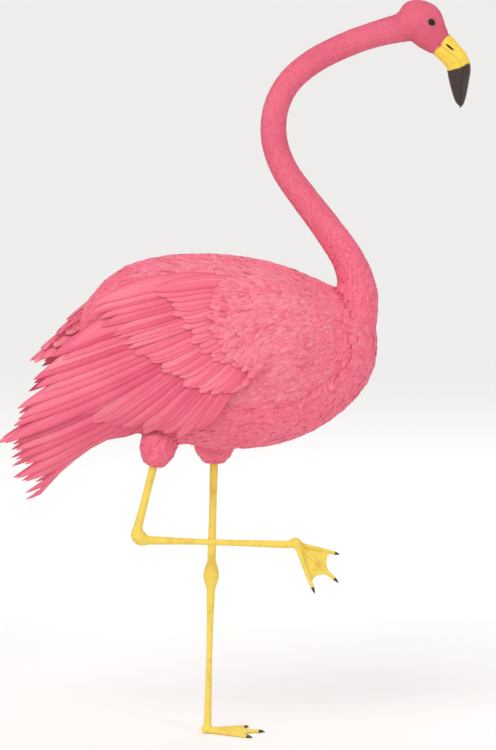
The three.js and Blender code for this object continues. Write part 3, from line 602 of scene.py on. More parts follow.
def claw_horn():
    """Claw keratin: dark brown, half polished by wear, streaked lengthwise."""
    material, tree, output = new_material("claw_horn")
    where = node(tree, "ShaderNodeTexCoord").outputs["Object"]
    streaks = node(tree, "ShaderNodeTexNoise", {"Scale": 700, "Detail": 3}, {"Vector": where})
    ramp = node(tree, "ShaderNodeValToRGB", links={"Fac": streaks.outputs["Fac"]})
    ramp.color_ramp.elements[0].position, ramp.color_ramp.elements[0].color = 0.3, linear("#2e2019")
    ramp.color_ramp.elements[1].position, ramp.color_ramp.elements[1].color = 0.8, linear("#574233")
    bump = node(tree, "ShaderNodeBump", {"Strength": 0.2, "Distance": 0.0001}, {"Height": streaks.outputs["Fac"]})
    shader = node(tree, "ShaderNodeBsdfPrincipled", {"Roughness": 0.4, "IOR": 1.54},
                  {"Base Color": ramp.outputs["Color"], "Normal": bump.outputs["Normal"]})
    tree.links.new(shader.outputs[0], output.inputs["Surface"])
    return material


def wet_eye():
    """A wet cornea over a near-black brown iris and a black pupil: a sharp highlight on a deep dark ground."""
    material, tree, output = new_material("wet_eye")
    gaze = node(tree, "ShaderNodeAttribute", attribute_name="gaze").outputs["Fac"]
    where = node(tree, "ShaderNodeTexCoord").outputs["Object"]
    flecks = node(tree, "ShaderNodeTexNoise", {"Scale": 1400, "Detail": 3}, {"Vector": where})
    spread = node(tree, "ShaderNodeMath", {1: 0.05}, {0: flecks.outputs["Fac"], 2: gaze}, operation="MULTIPLY_ADD")
    ramp = node(tree, "ShaderNodeValToRGB", links={"Fac": spread.outputs[0]})
    ramp.color_ramp.elements[0].position, ramp.color_ramp.elements[0].color = 0.30, linear("#020303")
    ramp.color_ramp.elements[1].position, ramp.color_ramp.elements[1].color = 0.34, linear("#1c110b")
    rim = ramp.color_ramp.elements.new(0.62)
    rim.color = linear("#120c09")
    white = ramp.color_ramp.elements.new(0.8)
    white.color = linear("#0c0a0a")
    shader = node(tree, "ShaderNodeBsdfPrincipled",
                  {"Roughness": 0.03, "IOR": 1.38},
                  {"Base Color": ramp.outputs["Color"]})
    tree.links.new(shader.outputs[0], output.inputs["Surface"])
    return material


def studio_paper():
    """Matt background paper: nearly white, with a fibre too fine to see."""
    material, tree, output = new_material("studio_paper")
    where = node(tree, "ShaderNodeTexCoord").outputs["Object"]
    fibre = node(tree, "ShaderNodeTexNoise", {"Scale": 300, "Detail": 2}, {"Vector": where})
    ramp = node(tree, "ShaderNodeValToRGB", links={"Fac": fibre.outputs["Fac"]})
    ramp.color_ramp.elements[0].color = linear("#f4f3f1")
    ramp.color_ramp.elements[1].color = linear("#fbfaf9")
    shader = node(tree, "ShaderNodeBsdfPrincipled", {"Roughness": 0.9}, {"Base Color": ramp.outputs["Color"]})
    tree.links.new(shader.outputs[0], output.inputs["Surface"])
    return material


small_feathers = plumage("small_feathers", 28, 1, 0.11)
long_feathers = plumage("long_feathers", 260, 2, 0)
skin_finish, horn, leg_finish = bird_skin(), bill_horn(), scaled_leg()
claw_finish, eye_finish, slit_shade_finish = claw_horn(), wet_eye(), slit_shade_lining()


def finish_piece(made, slot, *nodes):
    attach(made, "root")
    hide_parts(*nodes)
    return made


# ---------------------------------------------------------------- legs: where they run

def leg_course(hip, knob, onward_end):
    """Points of a leg from inside its thigh to the root of its toes, and the half thickness there."""
    down = unit(knob - hip)
    onward = unit(onward_end - knob)
    turn_in, turn_out = knob - down * KNOB_LONG / 2, knob + onward * KNOB_LONG / 2
    ankle = knob + onward * (KNOB_LONG / 2 + SHANK_LONG)
    share = np.linspace(0, 1, 24)[:, None]
    tibia = hip - down * 12 + (turn_in - hip + down * 12) * share
    bend = turn_in * (1 - share) ** 2 + knob * 2 * share * (1 - share) + turn_out * share**2
    shank = turn_out + (ankle - turn_out) * np.linspace(0, 1, 60)[:, None]
    foot = ankle + (onward_end - ankle) * np.linspace(0, 0.75, 6)[:, None]
    points = np.concatenate([tibia, bend[1:], shank[1:], foot[1:]])
    halves = np.concatenate([
        evenly(TIBIA)(share[:, 0]), evenly(KNOB)(share[1:, 0]), evenly(SHANK)(np.linspace(0, 1, 60)[1:]),
        np.linspace(5.6, 5.0, 6)[1:, None],
    ])[:, 0]
    return points, halves


def leg_places():
    """Hip, knob and sole of the standing and the lifted leg."""
    hip, sole = np.array(STANDING["hip"], float), np.array(STANDING["sole"], float)
    down = unit(sole - hip)
    rise = SHANK_LONG + KNOB_LONG / 2
    standing = hip, sole - down * (ANKLE_LONG + rise), sole
    hip, knob = np.array(LIFTED["hip"], float), np.array(LIFTED["knob"], float)
    turn = Matrix.Rotation(LIFTED_SWING, 3, "Z") @ Matrix.Rotation(LIFTED_DROP, 3, "Y")
    onward = np.array(turn @ Vector((1, 0, 0)))
    return {"left": standing, "right": (hip, knob, knob + onward * (rise + ANKLE_LONG))}


LEGS = leg_places()


def thigh_course(side):
    """The middle line of a feathered thigh."""
    hip, knob, _ = LEGS[side]
    start = np.array((STANDING if side == "left" else LIFTED)["thigh"], float)
    bend = hip - unit(knob - hip) * 40
    share = np.linspace(0, 1, 10)[:, None]
    return start * (1 - share) ** 2 + bend * 2 * share * (1 - share) + hip * share**2


# ---------------------------------------------------------------- the lie of the coat

def limb(name, points, girth, lengths, span):
    """What feathers follow: points from front to rear, the way along them, half thickness on each axis,
    feather length there, and the part of the coat's unwrap that it takes."""
    points = np.array(points, float)
    return {
        "name": name, "points": points, "way": unit(np.gradient(points, axis=0)),
        "girth": np.broadcast_to(np.array(girth, float), points.shape),
        "length": np.array(lengths, float), "span": span,
    }


def limbs():
    neck = np.array([[x, 0, z, half] for x, z, half in NECK], float)
    face = [[*from_head([x, 0, z]), half] for x, z, half in
            ((40, -6, 18), (28, -5, 22), (14, -2, 26), (0, 1, 29), (-14, 2, 29), (-26, 2, 26))]
    along, long = course(np.vstack([face, neck[1:]]))
    share = np.linspace(0, 1, 110)
    line = along(share)
    feather = through([[0, 2.2], [0.05, 2.7], [0.1, 3.6], [0.16, 5.5], [0.3, 7.5], [0.6, 9.5], [0.76, 13],
                       [0.86, 18], [1, 20]])(share)[:, 0]
    found = [limb("neck", line[:, :3], line[:, 3:], feather, (0, 0.5))]
    x = np.linspace(214, -224, 30)
    z, high, wide = section(x)
    found.append(limb("trunk", np.stack([x, 0 * x, z], -1), np.stack([0 * x + 55, wide, high], -1),
                      np.interp(x, [-224, -100, 60, 214], [28, 26, 23, 20]), (0.5, 0.8)))
    for side, span in (("left", (0.8, 0.9)), ("right", (0.9, 1))):
        points = thigh_course(side)
        found.append(limb("thigh_" + side, points, [[28]], np.linspace(20, 11, len(points)), span))
    return found


LIMBS = limbs()


def lie_of_coat(at):
    """For each place: the way its feathers point, their length, the limb they grow on, and the place on the
    coat's unwrap, which is the turn round the limb and the way along it."""
    chunks = []
    for block in np.array_split(at, max(1, len(at) // 8000)):
        reach, ways, lengths, wraps = [], [], [], []
        for part in LIMBS:
            square = (((block[:, None] - part["points"]) / part["girth"]) ** 2).sum(-1)
            nearest = square.min(1, keepdims=True)
            pull = np.exp((nearest - square) / 0.12)
            pull /= pull.sum(1, keepdims=True)
            way = unit(pull @ part["way"])
            off = block - pull @ part["points"]
            up = np.cross(way, [0, 1, 0])
            turn = np.arctan2(off[:, 1], (off * up).sum(-1)) / (2 * math.pi) + 0.5
            low, high = part["span"]
            along = pull @ np.linspace(low, high, len(part["points"]))
            reach.append(np.sqrt(nearest[:, 0]))
            ways.append(way)
            lengths.append(pull @ part["length"])
            wraps.append(np.stack([turn, along], -1))
        reach = np.array(reach)
        weight = np.exp(-3.2 * (reach - reach.min(0)))
        weight /= weight.sum(0)
        owner = reach.argmin(0)
        way = (weight[..., None] * np.array(ways)).sum(0)
        length = (weight * np.array(lengths)).sum(0)
        chunks.append((way, length, owner, np.array(wraps)[owner, np.arange(len(block))]))
    return [np.concatenate(c) for c in zip(*chunks)]


def coat_depth(at):
    """How deep the skin lies under the coat's surface."""
    _, length, _, _ = lie_of_coat(at)
    return np.interp(length, [2.2, 3.6, 8, 13, 20, 26],
                     [COAT_DEPTH["face"], 1.3, COAT_DEPTH["neck"], 3.2, 4.4, COAT_DEPTH["trunk"]])


# ---------------------------------------------------------------- skin

FLESH = ["torso", "head", "thigh_left", "thigh_right"] + [f"neck_{i}" for i in range(1, 6)]


def lids(side, ground):
    """Both lids of an eye as one ring of skin: a lip round the ball, low folds, and a skirt that meets the face."""
    section_at, _ = course(LID + LID[:1])
    count = LID_SHAPE["points"]
    bm = bmesh.new()
    circle = bmesh.ops.create_circle(bm, segments=count, radius=1)["verts"]
    outline = list({e for v in circle for e in v.link_edges})
    for v, (away, out) in zip(circle, section_at(np.arange(count) / count)):
        v.co = Vector((away, 0, out))
    bmesh.ops.spin(bm, geom=circle + outline, cent=(0, 0, 0), axis=(0, 0, 1), angle=2 * math.pi,
                   steps=LID_SHAPE["steps"], use_merge=True)
    move = eye_frame(side)
    look = move.to_3x3() @ Vector((0, 0, 1))
    skirt, edge = LID_SHAPE["skirt"]
    for v in bm.verts:
        away = math.hypot(v.co.x, v.co.y)
        corner = LID_SHAPE["corner"] * math.exp(-((v.co.y / 1.7) ** 2)) * (1 - smoothly(away, 5, 7.5))
        v.co.x = v.co.x * LID_SHAPE["along"] + math.copysign(corner, v.co.x)
        v.co.y *= LID_SHAPE["up"]
        if v.co.z > 2.5:
            beyond = max(1, LID_SHAPE["socket"] / away)  # the face is felt for where the socket doesn't reach
            seen = ground.tree.ray_cast(move @ Vector((v.co.x * beyond, v.co.y * beyond, 16)), -look, 24)
            swell = max(0, LID_SHAPE["socket"] ** 2 - away**2) / 36
            level = 16 - seen[3] + swell - 3 * smoothly(away, edge, 9.8)
            share = smoothly(away, skirt, edge)
            above = 0.5 - side * v.co.y / away / 2
            fold = 0.16 * math.sin(away * 6.5 + 0.8 * above) * smoothly(away, 5.6, 6.3) * (0.35 + above)
            fold += 0.05 * math.sin(26 * math.atan2(v.co.y, v.co.x) + 1.7 * away) * smoothly(away, 5.2, 6.2)
            fold *= 1 - smoothly(away, 6.6, 7.6)
            v.co.z = v.co.z * (1 - share) + (level + 0.15) * share + fold
    bmesh.ops.transform(bm, matrix=move, verts=bm.verts)
    face_outward(bm)
    mesh = mesh_of(bm, "lids")
    bm.free()
    return mesh


def eye_turn(side):
    """Turns +z to where an eye looks, with +x kept along the face."""
    upward, forward = (math.radians(a) for a in EYE["turn"])
    look = Matrix.Rotation(-side * forward, 4, "Z") @ Matrix.Rotation(side * upward, 4, "X")
    return look @ Matrix.Rotation(-side * math.pi / 2, 4, "X")


def eye_frame(side):
    return HEAD @ Matrix.Translation((EYE["along"], side * EYE["out"], EYE["up"])) @ eye_turn(side)


def sink_socket(places):
    """Lowers what the solids' socket leaves standing under the lids."""
    for side in (1, -1):
        turn, middle = np.array(eye_frame(side).to_3x3()), np.array(eye_frame(side).translation)
        local = (places - middle) @ turn
        away = np.hypot(local[:, 0] / LID_SHAPE["along"], local[:, 1] / LID_SHAPE["up"])
        limit = 2.5 + 2.5 * smoothly(away, 6.3, 9)
        over = np.where((away < 8.9) & (local[:, 2] > 0), np.maximum(local[:, 2] - limit, 0), 0)
        places = places - over[:, None] * turn[:, 2]
    return places


def skin():
    bm = bmesh.new()
    for name in FLESH:
        bm.from_mesh(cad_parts[name].data)
    bmesh.ops.remove_doubles(bm, verts=bm.verts, dist=1e-6)
    raw = piece(bm, "flesh", [], placed=True)
    mesh = with_modifiers(
        raw,
        ("REMESH", {"mode": "VOXEL", "voxel_size": SKIN_GRAIN * MM}),
        ("SMOOTH", {"factor": 0.5, "iterations": 10}),
    )
    places = places_of(mesh)
    x, _, z = to_head(places).T
    near = np.linalg.norm(places - HEAD_AT, axis=1) < 105
    onward = 14 * smoothly(z, 4, 22)  # the nape runs further up the skull than the throat does
    throat = smoothly(x, -95, -62) * smoothly(x - onward, -10, -32) * near
    draft = shown(mesh, "draft", [])
    group = draft.vertex_groups.new(name="throat")
    for share in range(1, 11):
        group.add(np.flatnonzero(np.round(throat * 10) == share).tolist(), share / 10, "REPLACE")
    mesh = with_modifiers(draft, ("SMOOTH", {"factor": 0.5, "iterations": 120, "vertex_group": "throat"}))
    places = places_of(mesh)
    face = np.linalg.norm(places - HEAD_AT, axis=1) < 62
    draft = shown(mesh, "draft", [])
    group = draft.vertex_groups.new(name="trunk and neck")
    group.add(np.flatnonzero(~face).tolist(), 1, "REPLACE")
    triangles = 2 * len(mesh.polygons)
    mesh = with_modifiers(
        draft,
        ("DECIMATE", {"ratio": min(1, 170000 / triangles), "vertex_group": group.name, "vertex_group_factor": 10}),
        ("SMOOTH", {"factor": 0.5, "iterations": 4}),
    )
    places = places_of(mesh)
    places -= normals_of(mesh) * coat_depth(places)[:, None]
    put_places(mesh, sink_socket(places))
    ground = Surface(mesh)
    bm = bmesh.new()
    bm.from_mesh(mesh)
    bare_from = len(bm.verts)
    for side in (1, -1):
        bm.from_mesh(lids(side, ground))
    made = piece(bm, "skin", [skin_finish], placed=True)
    mark(made.data, "bare", np.arange(len(made.data.vertices)) >= bare_from)
    return finish_piece(made, "plumage", *FLESH)


# ---------------------------------------------------------------- feathers on a surface

class Surface:
    """Meshes that feathers are set on, in the layout's millimetres."""

    def __init__(self, *meshes):
        places, normals, triangles, start = [], [], [], 0
        for mesh in meshes:
            mesh.calc_loop_triangles()
            places.append(places_of(mesh))
            normals.append(normals_of(mesh))
            corners = np.empty(len(mesh.loop_triangles) * 3, np.int32)
            mesh.loop_triangles.foreach_get("vertices", corners)
            triangles.append(corners.reshape(-1, 3) + start)
            start += len(mesh.vertices)
        self.places, self.normals = np.concatenate(places), np.concatenate(normals)
        self.triangles = np.concatenate(triangles)
        self.tree = BVHTree.FromPolygons(self.places.tolist(), self.triangles.tolist())

    def outermost(self, points, out):
        """The place that is seen first where one looks in at each point against out, and its normal."""
        seen, normals = [], []
        for p, n in zip(points.tolist(), out.tolist()):
            above = Vector(p) + Vector(n) * 13
            hit = self.tree.ray_cast(above, -Vector(n), 24)
            if hit[0] is None or (hit[1] is not None and hit[1].dot(Vector(n)) < 0.15):
                hit = self.tree.find_nearest(p)
            seen.append(hit[0])
            normals.append(hit[1])
        return np.array(seen), np.array(normals)

    def candidates(self, spacing, draw, crowd):
        """Places drawn by chance over the surface, crowd times as many as will be kept, and their normals.
        spacing holds the least gap between two kept ones on each triangle."""
        a, b, c = (self.places[self.triangles[:, i]] for i in range(3))
        area = np.linalg.norm(np.cross(b - a, c - a), axis=1) / 2
        wanted = crowd * 0.7 * area / spacing**2
        count = np.floor(wanted + draw.random(len(area))).astype(int)
        pick = np.repeat(np.arange(len(area)), count)
        u, v = draw.random((2, len(pick)))
        flip = u + v > 1
        u[flip], v[flip] = 1 - u[flip], 1 - v[flip]
        share = np.stack([1 - u - v, u, v], -1)[..., None]
        corner = self.triangles[pick]
        return (self.places[corner] * share).sum(1), unit((self.normals[corner] * share).sum(1))


def thin_out(points, spacing):
    """Keeps the points, in their order, that are no closer to a kept one than the spacing there."""
    size = float(spacing.max())
    cells, kept = {}, []
    around = [(i, j, k) for i in (-1, 0, 1) for j in (-1, 0, 1) for k in (-1, 0, 1)]
    keys = np.floor(points / size).astype(int).tolist()
    for n, (p, key, gap) in enumerate(zip(points.tolist(), keys, (spacing**2).tolist())):
        x, y, z = p
        i, j, k = key
        close = False
        for di, dj, dk in around:
            for qx, qy, qz in cells.get((i + di, j + dj, k + dk), ()):
                if (qx - x) ** 2 + (qy - y) ** 2 + (qz - z) ** 2 < gap:
                    close = True
                    break
            if close:
                break
        if not close:
            cells.setdefault((i, j, k), []).append(p)
            kept.append(n)
    return np.array(kept, int)


def plant(surface, at, normal, way, length, wide, lift, shape, draw, stray=0.14):
    """Corners of a feather set at each place. Each follows the surface under it and rises by lift at its tip."""
    count = len(at)
    way = unit(way - normal * (way * normal).sum(-1, keepdims=True))
    side = np.cross(normal, way)
    turn = draw.normal(0, stray, count)[:, None]
    way = way * np.cos(turn) + side * np.sin(turn)
    side = np.cross(normal, way)
    long = (length * (1 + 0.12 * draw.normal(0, 1, count)))[:, None]
    wide = (wide * (1 + 0.1 * draw.normal(0, 1, count)))[:, None, None]
    lift = (lift * (1 + 0.3 * draw.normal(0, 1, count)))[:, None]
    middle, middle_out = surface.outermost(at + way * long * 0.5, normal)
    tip, tip_out = surface.outermost(at + way * long * 0.97, normal)
    start = at - normal * lift * 0.35
    middle = middle + middle_out * lift * 0.6
    tip = tip + tip_out * lift
    share, across, rise = shape[:, 0], shape[:, 1], shape[:, 2]
    u = share[None, :, None]
    line = (start[:, None] * (1 - u) * (1 - 2 * u) + middle[:, None] * 4 * u * (1 - u) + tip[:, None] * u * (2 * u - 1))
    out = unit(normal[:, None] * (1 - u) + tip_out[:, None] * u)
    aside = unit(np.cross(out, (tip - start)[:, None]))
    tilt = draw.normal(0, 0.1, count)[:, None, None]
    curl = draw.normal(0, 0.05, count)[:, None, None] * long[:, None]
    spread = across[None, :, None] * wide / 2
    thick = rise[None, :, None] * wide * 0.07 - across[None, :, None] ** 2 * wide * 0.06
    return line + aside * (spread + curl * u**2) + out * (thick + spread * tilt)


HAIR_TUFT = tuft_shape([0, 0.52, 1], [0, 1, 0], [0, 0, 0])
BODY_TUFT = tuft_shape([0, 0.3, 0.62, 0.86, 1], [0, 0.72, 1, 0.82, 0.4], [0, 0, 0, 0.01, 0.05])
# Feather length, then the gap between roots, width, and rise of the tip
FACE, NAPE, LOW_NECK, TRUNK_COAT = 2.2, 5, 11.5, 26
GAPS = ([FACE, NAPE, 8, LOW_NECK, 13, TRUNK_COAT], [0.6, 0.9, 1.2, 1.6, 2.1, 3.2])
WIDTHS = ([FACE, NAPE, 8, LOW_NECK, 13, TRUNK_COAT], [0.68, 1.15, 1.8, 2.6, 4.6, 10])
RISES = ([FACE, NAPE, 8, LOW_NECK, 13, TRUNK_COAT], [0.28, 0.4, 0.55, 0.75, 1.0, 1.7])
TUFT_PATCH = 0.003  # a tuft's own place on the bake map


def tuft_maps(shape, wrap):
    """The vane map of a tuft, and the bake map of each, which is a small patch at its root's place."""
    places, _ = shape
    vane = np.stack([places[:, 1] * 0.5 + 0.5, places[:, 0]], -1)
    return vane, 0.01 + 0.975 * wrap[:, None] + TUFT_PATCH * vane[None]


def covered_by(tree, at, out):
    """Whether something lies within a short way outward of each place."""
    found = [tree.ray_cast(p, n, 34)[0] is not None for p, n in zip((at + out * 0.5).tolist(), out.tolist())]
    return np.array(found, bool)


def under_wing(at, normal, way):
    """Which places are so far under a wing that no feather there is seen, and which lie under it at all."""
    places, faces, start = [], [], 0
    for name in ("wing_left", "wing_right"):
        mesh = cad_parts[name].data
        points = places_of(mesh)
        places += points.tolist()
        faces += [[v + start for v in p.vertices] for p in mesh.polygons]
        start += len(points)
    tree = BVHTree.FromPolygons(places, faces)
    under = covered_by(tree, at, normal)
    hidden = under.copy()
    side = np.cross(normal, unit(way))
    for step in (way * 22, side * 15, -side * 15, way * -9):
        rows = np.flatnonzero(hidden)
        hidden[rows] = covered_by(tree, at[rows] + step[rows], normal[rows])
    return hidden, under


def bare_face(in_head, from_eye):
    """Whether a place, in the head's frame, is too near an eye or the bill for feathers."""
    x, y, z = in_head.T
    near = (x > -50) & (np.abs(y) < 34) & (np.abs(z) < 45)
    return near & (((from_eye < BARE_ROUND_EYE) & (np.abs(y) > 10)) | (x > HEAD_FRONT - 1.6))


def parted_round_eye(way, in_head, from_eye):
    """The way of the feathers, turned aside so that they run round the eye."""
    x, z = in_head[:, 0] - EYE["along"], in_head[:, 2] - EYE["up"]
    near = (from_eye < 24) & (in_head[:, 0] > -20) & (np.abs(in_head[:, 1]) < 34)
    part = 0.9 * np.exp(-np.maximum(from_eye - 8, 0) / 5) * near
    round_it = np.stack([-np.abs(z), 0 * z, x * z / (np.abs(z) + 0.8)], -1) / np.maximum(from_eye, 1)[:, None]
    return way * (1 - part[:, None]) + round_it @ HEAD_TURN.T * part[:, None]


def finer_by_eye(at, length):
    """The place in the head's frame, how far that is from the eye's middle, and how much smaller a feather is."""
    in_head = to_head(at)
    from_eye = np.hypot(in_head[:, 0] - EYE["along"], in_head[:, 2] - EYE["up"])
    finer = 1 - 0.45 * (1 - smoothly(from_eye, 7.5, 13)) * (in_head[:, 0] > -20) * (length < NAPE)
    return in_head, from_eye, finer


def coat(body, arms):
    """The coat of small feathers over the skin, in pieces by region. It laps over the edges of the arms."""
    draw = np.random.default_rng(5)
    surface = Surface(body.data)
    ground = Surface(body.data, *arms)
    centres = surface.places[surface.triangles].mean(1)
    length = lie_of_coat(centres)[1]
    at, normal = surface.candidates(np.interp(length, *GAPS) * finer_by_eye(centres, length)[2], draw, 3.6)
    way, length, owner, wrap = lie_of_coat(at)
    in_head, from_eye, finer = finer_by_eye(at, length)
    facing = np.abs((unit(way) * normal).sum(-1)) * (from_eye > 12)
    keep = ~bare_face(in_head, from_eye) & (facing < 0.93) & (at[:, 2] > 380)
    by_eye = np.flatnonzero(keep & (from_eye < 13) & (in_head[:, 0] > -20) & (at[:, 2] > 740))
    look = np.stack([np.array(eye_frame(side).to_3x3())[:, 2] for side in (1, -1)])
    seen, _ = surface.outermost(at[by_eye], look[(at[by_eye, 1] < 0).astype(int)])
    keep[by_eye[np.linalg.norm(seen - at[by_eye], axis=1) > 0.6]] = False
    low = np.flatnonzero(keep & (at[:, 2] < 740))
    hidden, under = under_wing(at[low], normal[low], unit(way[low]))
    over, _ = ground.outermost(at[low], normal[low])
    keep[low[hidden | (np.linalg.norm(over - at[low], axis=1) > 3.5)]] = False
    flat = np.ones(len(at))
    flat[low[under]] = 0.2
    rows = np.flatnonzero(keep)
    rows = rows[draw.permutation(len(rows))]
    gap = np.interp(length, *GAPS) * finer
    bands = zip((0, 3.2, 6, 9, LOW_NECK, 16), (3.2, 6, 9, LOW_NECK, 16, 99))
    parts = [rows[(length[rows] >= shortest) & (length[rows] < longest)] for shortest, longest in bands]
    rows = np.concatenate([part[thin_out(at[part], gap[part])] for part in parts if len(part)])
    way = parted_round_eye(unit(way), in_head, from_eye)
    wide, rise, length = np.interp(length, *WIDTHS) * finer, np.interp(length, *RISES) * finer * flat, length * finer
    regions = {}
    for n in rows.tolist():
        regions.setdefault(region_of(at[n], owner[n], length[n], in_head[n]), []).append(n)
    for name, members in regions.items():
        members = np.array(members)
        hairs = length[members] < LOW_NECK
        sets = []
        for shape, part in ((HAIR_TUFT, members[hairs]), (BODY_TUFT, members[~hairs])):
            if not len(part):
                continue
            corners = plant(ground, at[part], normal[part], way[part], length[part], wide[part], rise[part],
                            shape[0], draw)
            vane, bake = tuft_maps(shape, wrap[part])
            sets.append((corners, shape[1], vane, bake, draw.normal(0, 1, len(part))))
        mesh = feather_mesh("coat_" + name, sets)
        made = shown(mesh, "coat_" + name, [small_feathers])
        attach(made, "root")
        print("coat", name, len(members), "feathers", len(mesh.polygons), "triangles")


# x and z of the line over the shoulder where the longer feathers of the breast's side end
CAPE = [[193.5, 642], [208, 589], [190, 552], [156, 529], [129, 511]]
CAPE_ROWS = [[0, 27, 3.6], [7, 25, 2.8], [14, 23, 2.2], [21, 22, 1.8]]  # way ahead of the line, length and rise


def cape(body, arms):
    """Rows of longer feathers on each side of the breast, which end in a soft edge over the shoulder."""
    draw = np.random.default_rng(41)
    ground = Surface(body.data, *arms)
    line, long = course([[x, 0, z] for x, z in CAPE])
    count = round(long / 4.4)
    sets = []
    for side in (1, -1):
        for ahead, length, rise in CAPE_ROWS:
            share = (np.arange(count) + draw.uniform(0, 0.9, count)) / count
            way = unit(np.stack([-0.7 - 0.3 * share, 0 * share, -0.7 + 0.5 * share], -1))
            roots = line(share) - way * (ahead + 0.85 * length + draw.normal(0, 2, (count, 1)))
            inward = Vector((0, -side, 0))
            hits = [ground.tree.ray_cast(Vector((x, side * 200, z)), inward) for x, _, z in roots.tolist()]
            at, normal = np.array([hit[0] for hit in hits]), np.array([hit[1] for hit in hits])
            size = np.ones(count)
            corners = plant(ground, at, normal, way, length * size, 0.42 * length * size, rise * size,
                            BODY_TUFT[0], draw, 0.1)
            wrap = np.stack([(at[:, 0] - 100) / 340 + (0.5 if side > 0 else 0), (at[:, 2] - 460) / 280], -1)
            vane, bake = tuft_maps(BODY_TUFT, np.clip(wrap, 0, 1))
            sets.append((corners, BODY_TUFT[1], vane, bake, draw.normal(0, 1, count) - 0.3))
    made = shown(feather_mesh("coat_cape", sets), "coat_cape", [small_feathers])
    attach(made, "root")


def region_of(at, owner, length, in_head):
    """The piece of the coat that a feather belongs to."""
    if owner >= 2:
        return "thigh_left" if owner == 2 else "thigh_right"
    if owner == 0 and at[2] > 700:
        if in_head[0] > -60 and length < NAPE:
            return "face" if in_head[0] > 0 else "crown"
        for name, longest in (("nape", 6.9), ("upper_neck", 7.9), ("middle_neck", 9.2)):
            if length < longest:
                return name
        return "lower_neck"
    return "breast" if at[0] > 80 else "back" if at[2] > 600 else "belly"


# ---------------------------------------------------------------- wings and tail

VANE_ROWS = [0, 0.08, 0.18, 0.3, 0.42, 0.54, 0.65, 0.74, 0.82, 0.88, 0.93, 0.97, 1]
VANE_ACROSS = [-1, -0.55, -0.07, 0.07, 0.55, 1]
VANE = vane_shape(VANE_ROWS, VANE_ACROSS)
ROUNDED = through([[0, 0.36], [0.2, 0.74], [0.45, 0.96], [0.65, 1], [0.82, 0.9], [0.92, 0.66], [0.97, 0.42], [1, 0.12]])
POINTED = through([[0, 0.36], [0.2, 0.8], [0.45, 1], [0.65, 0.92], [0.82, 0.66], [0.92, 0.38], [0.97, 0.2], [1, 0.04]])

# Tiers from the body outward. spread: degrees below level of the first and last feather at the root, then at
# the tip. root and tip: reach from the shoulder. wide: full width. lift: off the trunk at root and tip.
# droop: how late a feather bends. tint: how much deeper its pink is.
TIERS = [
    {"name": "primaries", "count": 9, "spread": [28, 42, 27.5, 38.5], "root": [200, 200], "tip": [484, 494],
     "wide": [25, 21], "lift": [4.2, 3.4], "droop": 1.6, "tint": 0.9, "outline": POINTED},
    {"name": "secondaries", "count": 17, "spread": [26, 55, 30, 56], "root": [140, 118], "tip": [358, 232],
     "wide": [27, 23], "lift": [5.0, 6.4], "droop": 1.4, "tint": 0.5, "outline": ROUNDED},
    {"name": "tertials", "count": 11, "spread": [5, 27, 14, 27.5], "root": [150, 145], "tip": [338, 472],
     "wide": [30, 29], "lift": [5.4, 8.6], "droop": 1.8, "tint": 0.25, "outline": POINTED},
    {"name": "greater coverts", "count": 19, "spread": [17, 59, 21, 57], "root": [88, 84], "tip": [234, 172],
     "wide": [23, 20], "lift": [5, 9.6], "droop": 1.3, "tint": 0, "outline": ROUNDED},
    {"name": "median coverts", "count": 17, "spread": [9, 68, 18, 62], "root": [56, 56], "tip": [162, 124],
     "wide": [21, 18], "lift": [5.4, 10.4], "droop": 1.3, "tint": -0.3, "outline": ROUNDED},
    {"name": "scapulars", "count": 12, "spread": [-13, 10, 4, 18.5], "root": [86, 66], "tip": [296, 250],
     "wide": [26, 23], "lift": [5.4, 10.2], "droop": 1.1, "tint": 0, "outline": POINTED},
    {"name": "inner scapulars", "count": 8, "spread": [-16, 6, -1, 14], "root": [40, 34], "tip": [196, 158],
     "wide": [23, 21], "lift": [4.6, 11.2], "droop": 1.1, "tint": -0.3, "outline": ROUNDED},
]


def vane_corners(lay, wide, outline, draw):
    """Corners of a long feather. lay(share, across, rise) gives its points in millimetres."""
    share, across, layer = VANE[0].T
    steps = np.array(VANE_ROWS)
    ragged = 1 + draw.normal(0, 0.015, (2, len(steps)))
    for side in (0, 1):
        if draw.random() < 0.15:  # barbs that have come apart
            ragged[side, draw.integers(8, len(steps) - 2)] *= 0.93
    row = np.searchsorted(steps, share - 1e-6)
    half = wide / 2 * outline(share)[:, 0] * ragged[(across > 0).astype(int), row]
    half *= np.where(across < 0, 0.84, 1.16)
    shaft = np.where(np.abs(across) < 0.2, 0.55 * (1 - 0.7 * share), 0)
    thick = 0.5 - 0.25 * share
    aside = across * half
    rise = aside * ROLL + (layer - 0.5) * thick + np.where(layer > 0.5, shaft, 0) - across**2 * half * 0.022
    return lay(share, aside, rise)


def wing_feather(tier, place, draw):
    spread, reach_root, reach_tip = tier["spread"], tier["root"], tier["tip"]
    start = np.interp(place, [0, 1], spread[:2])
    end = np.interp(place, [0, 1], spread[2:]) + 0.05 * draw.normal() * (spread[3] - spread[2]) / 3
    near = np.interp(place, [0, 1], reach_root)
    far = np.interp(place, [0, 1], reach_tip) * (1 + 0.022 * draw.normal())
    lift = tier["lift"]

    def middle(share):
        degrees = start + (end - start) * np.maximum(share, 0) ** tier["droop"]
        return on_wing(degrees, near + (far - near) * share, 0 * share)

    def lay(share, aside, rise):
        at = middle(share)
        onward = unit(middle(share + 0.02) - middle(share - 0.02))
        away = drop_on(at, 1 + 0 * share) - drop_on(at, 0 * share)
        down = unit(np.cross(onward, away))
        return drop_on(at + down * aside[:, None], lift[0] + (lift[1] - lift[0]) * share + rise)

    wide = np.interp(place, [0, 1], tier["wide"]) * (1 + 0.05 * draw.normal())
    return vane_corners(lay, wide, tier["outline"], draw)


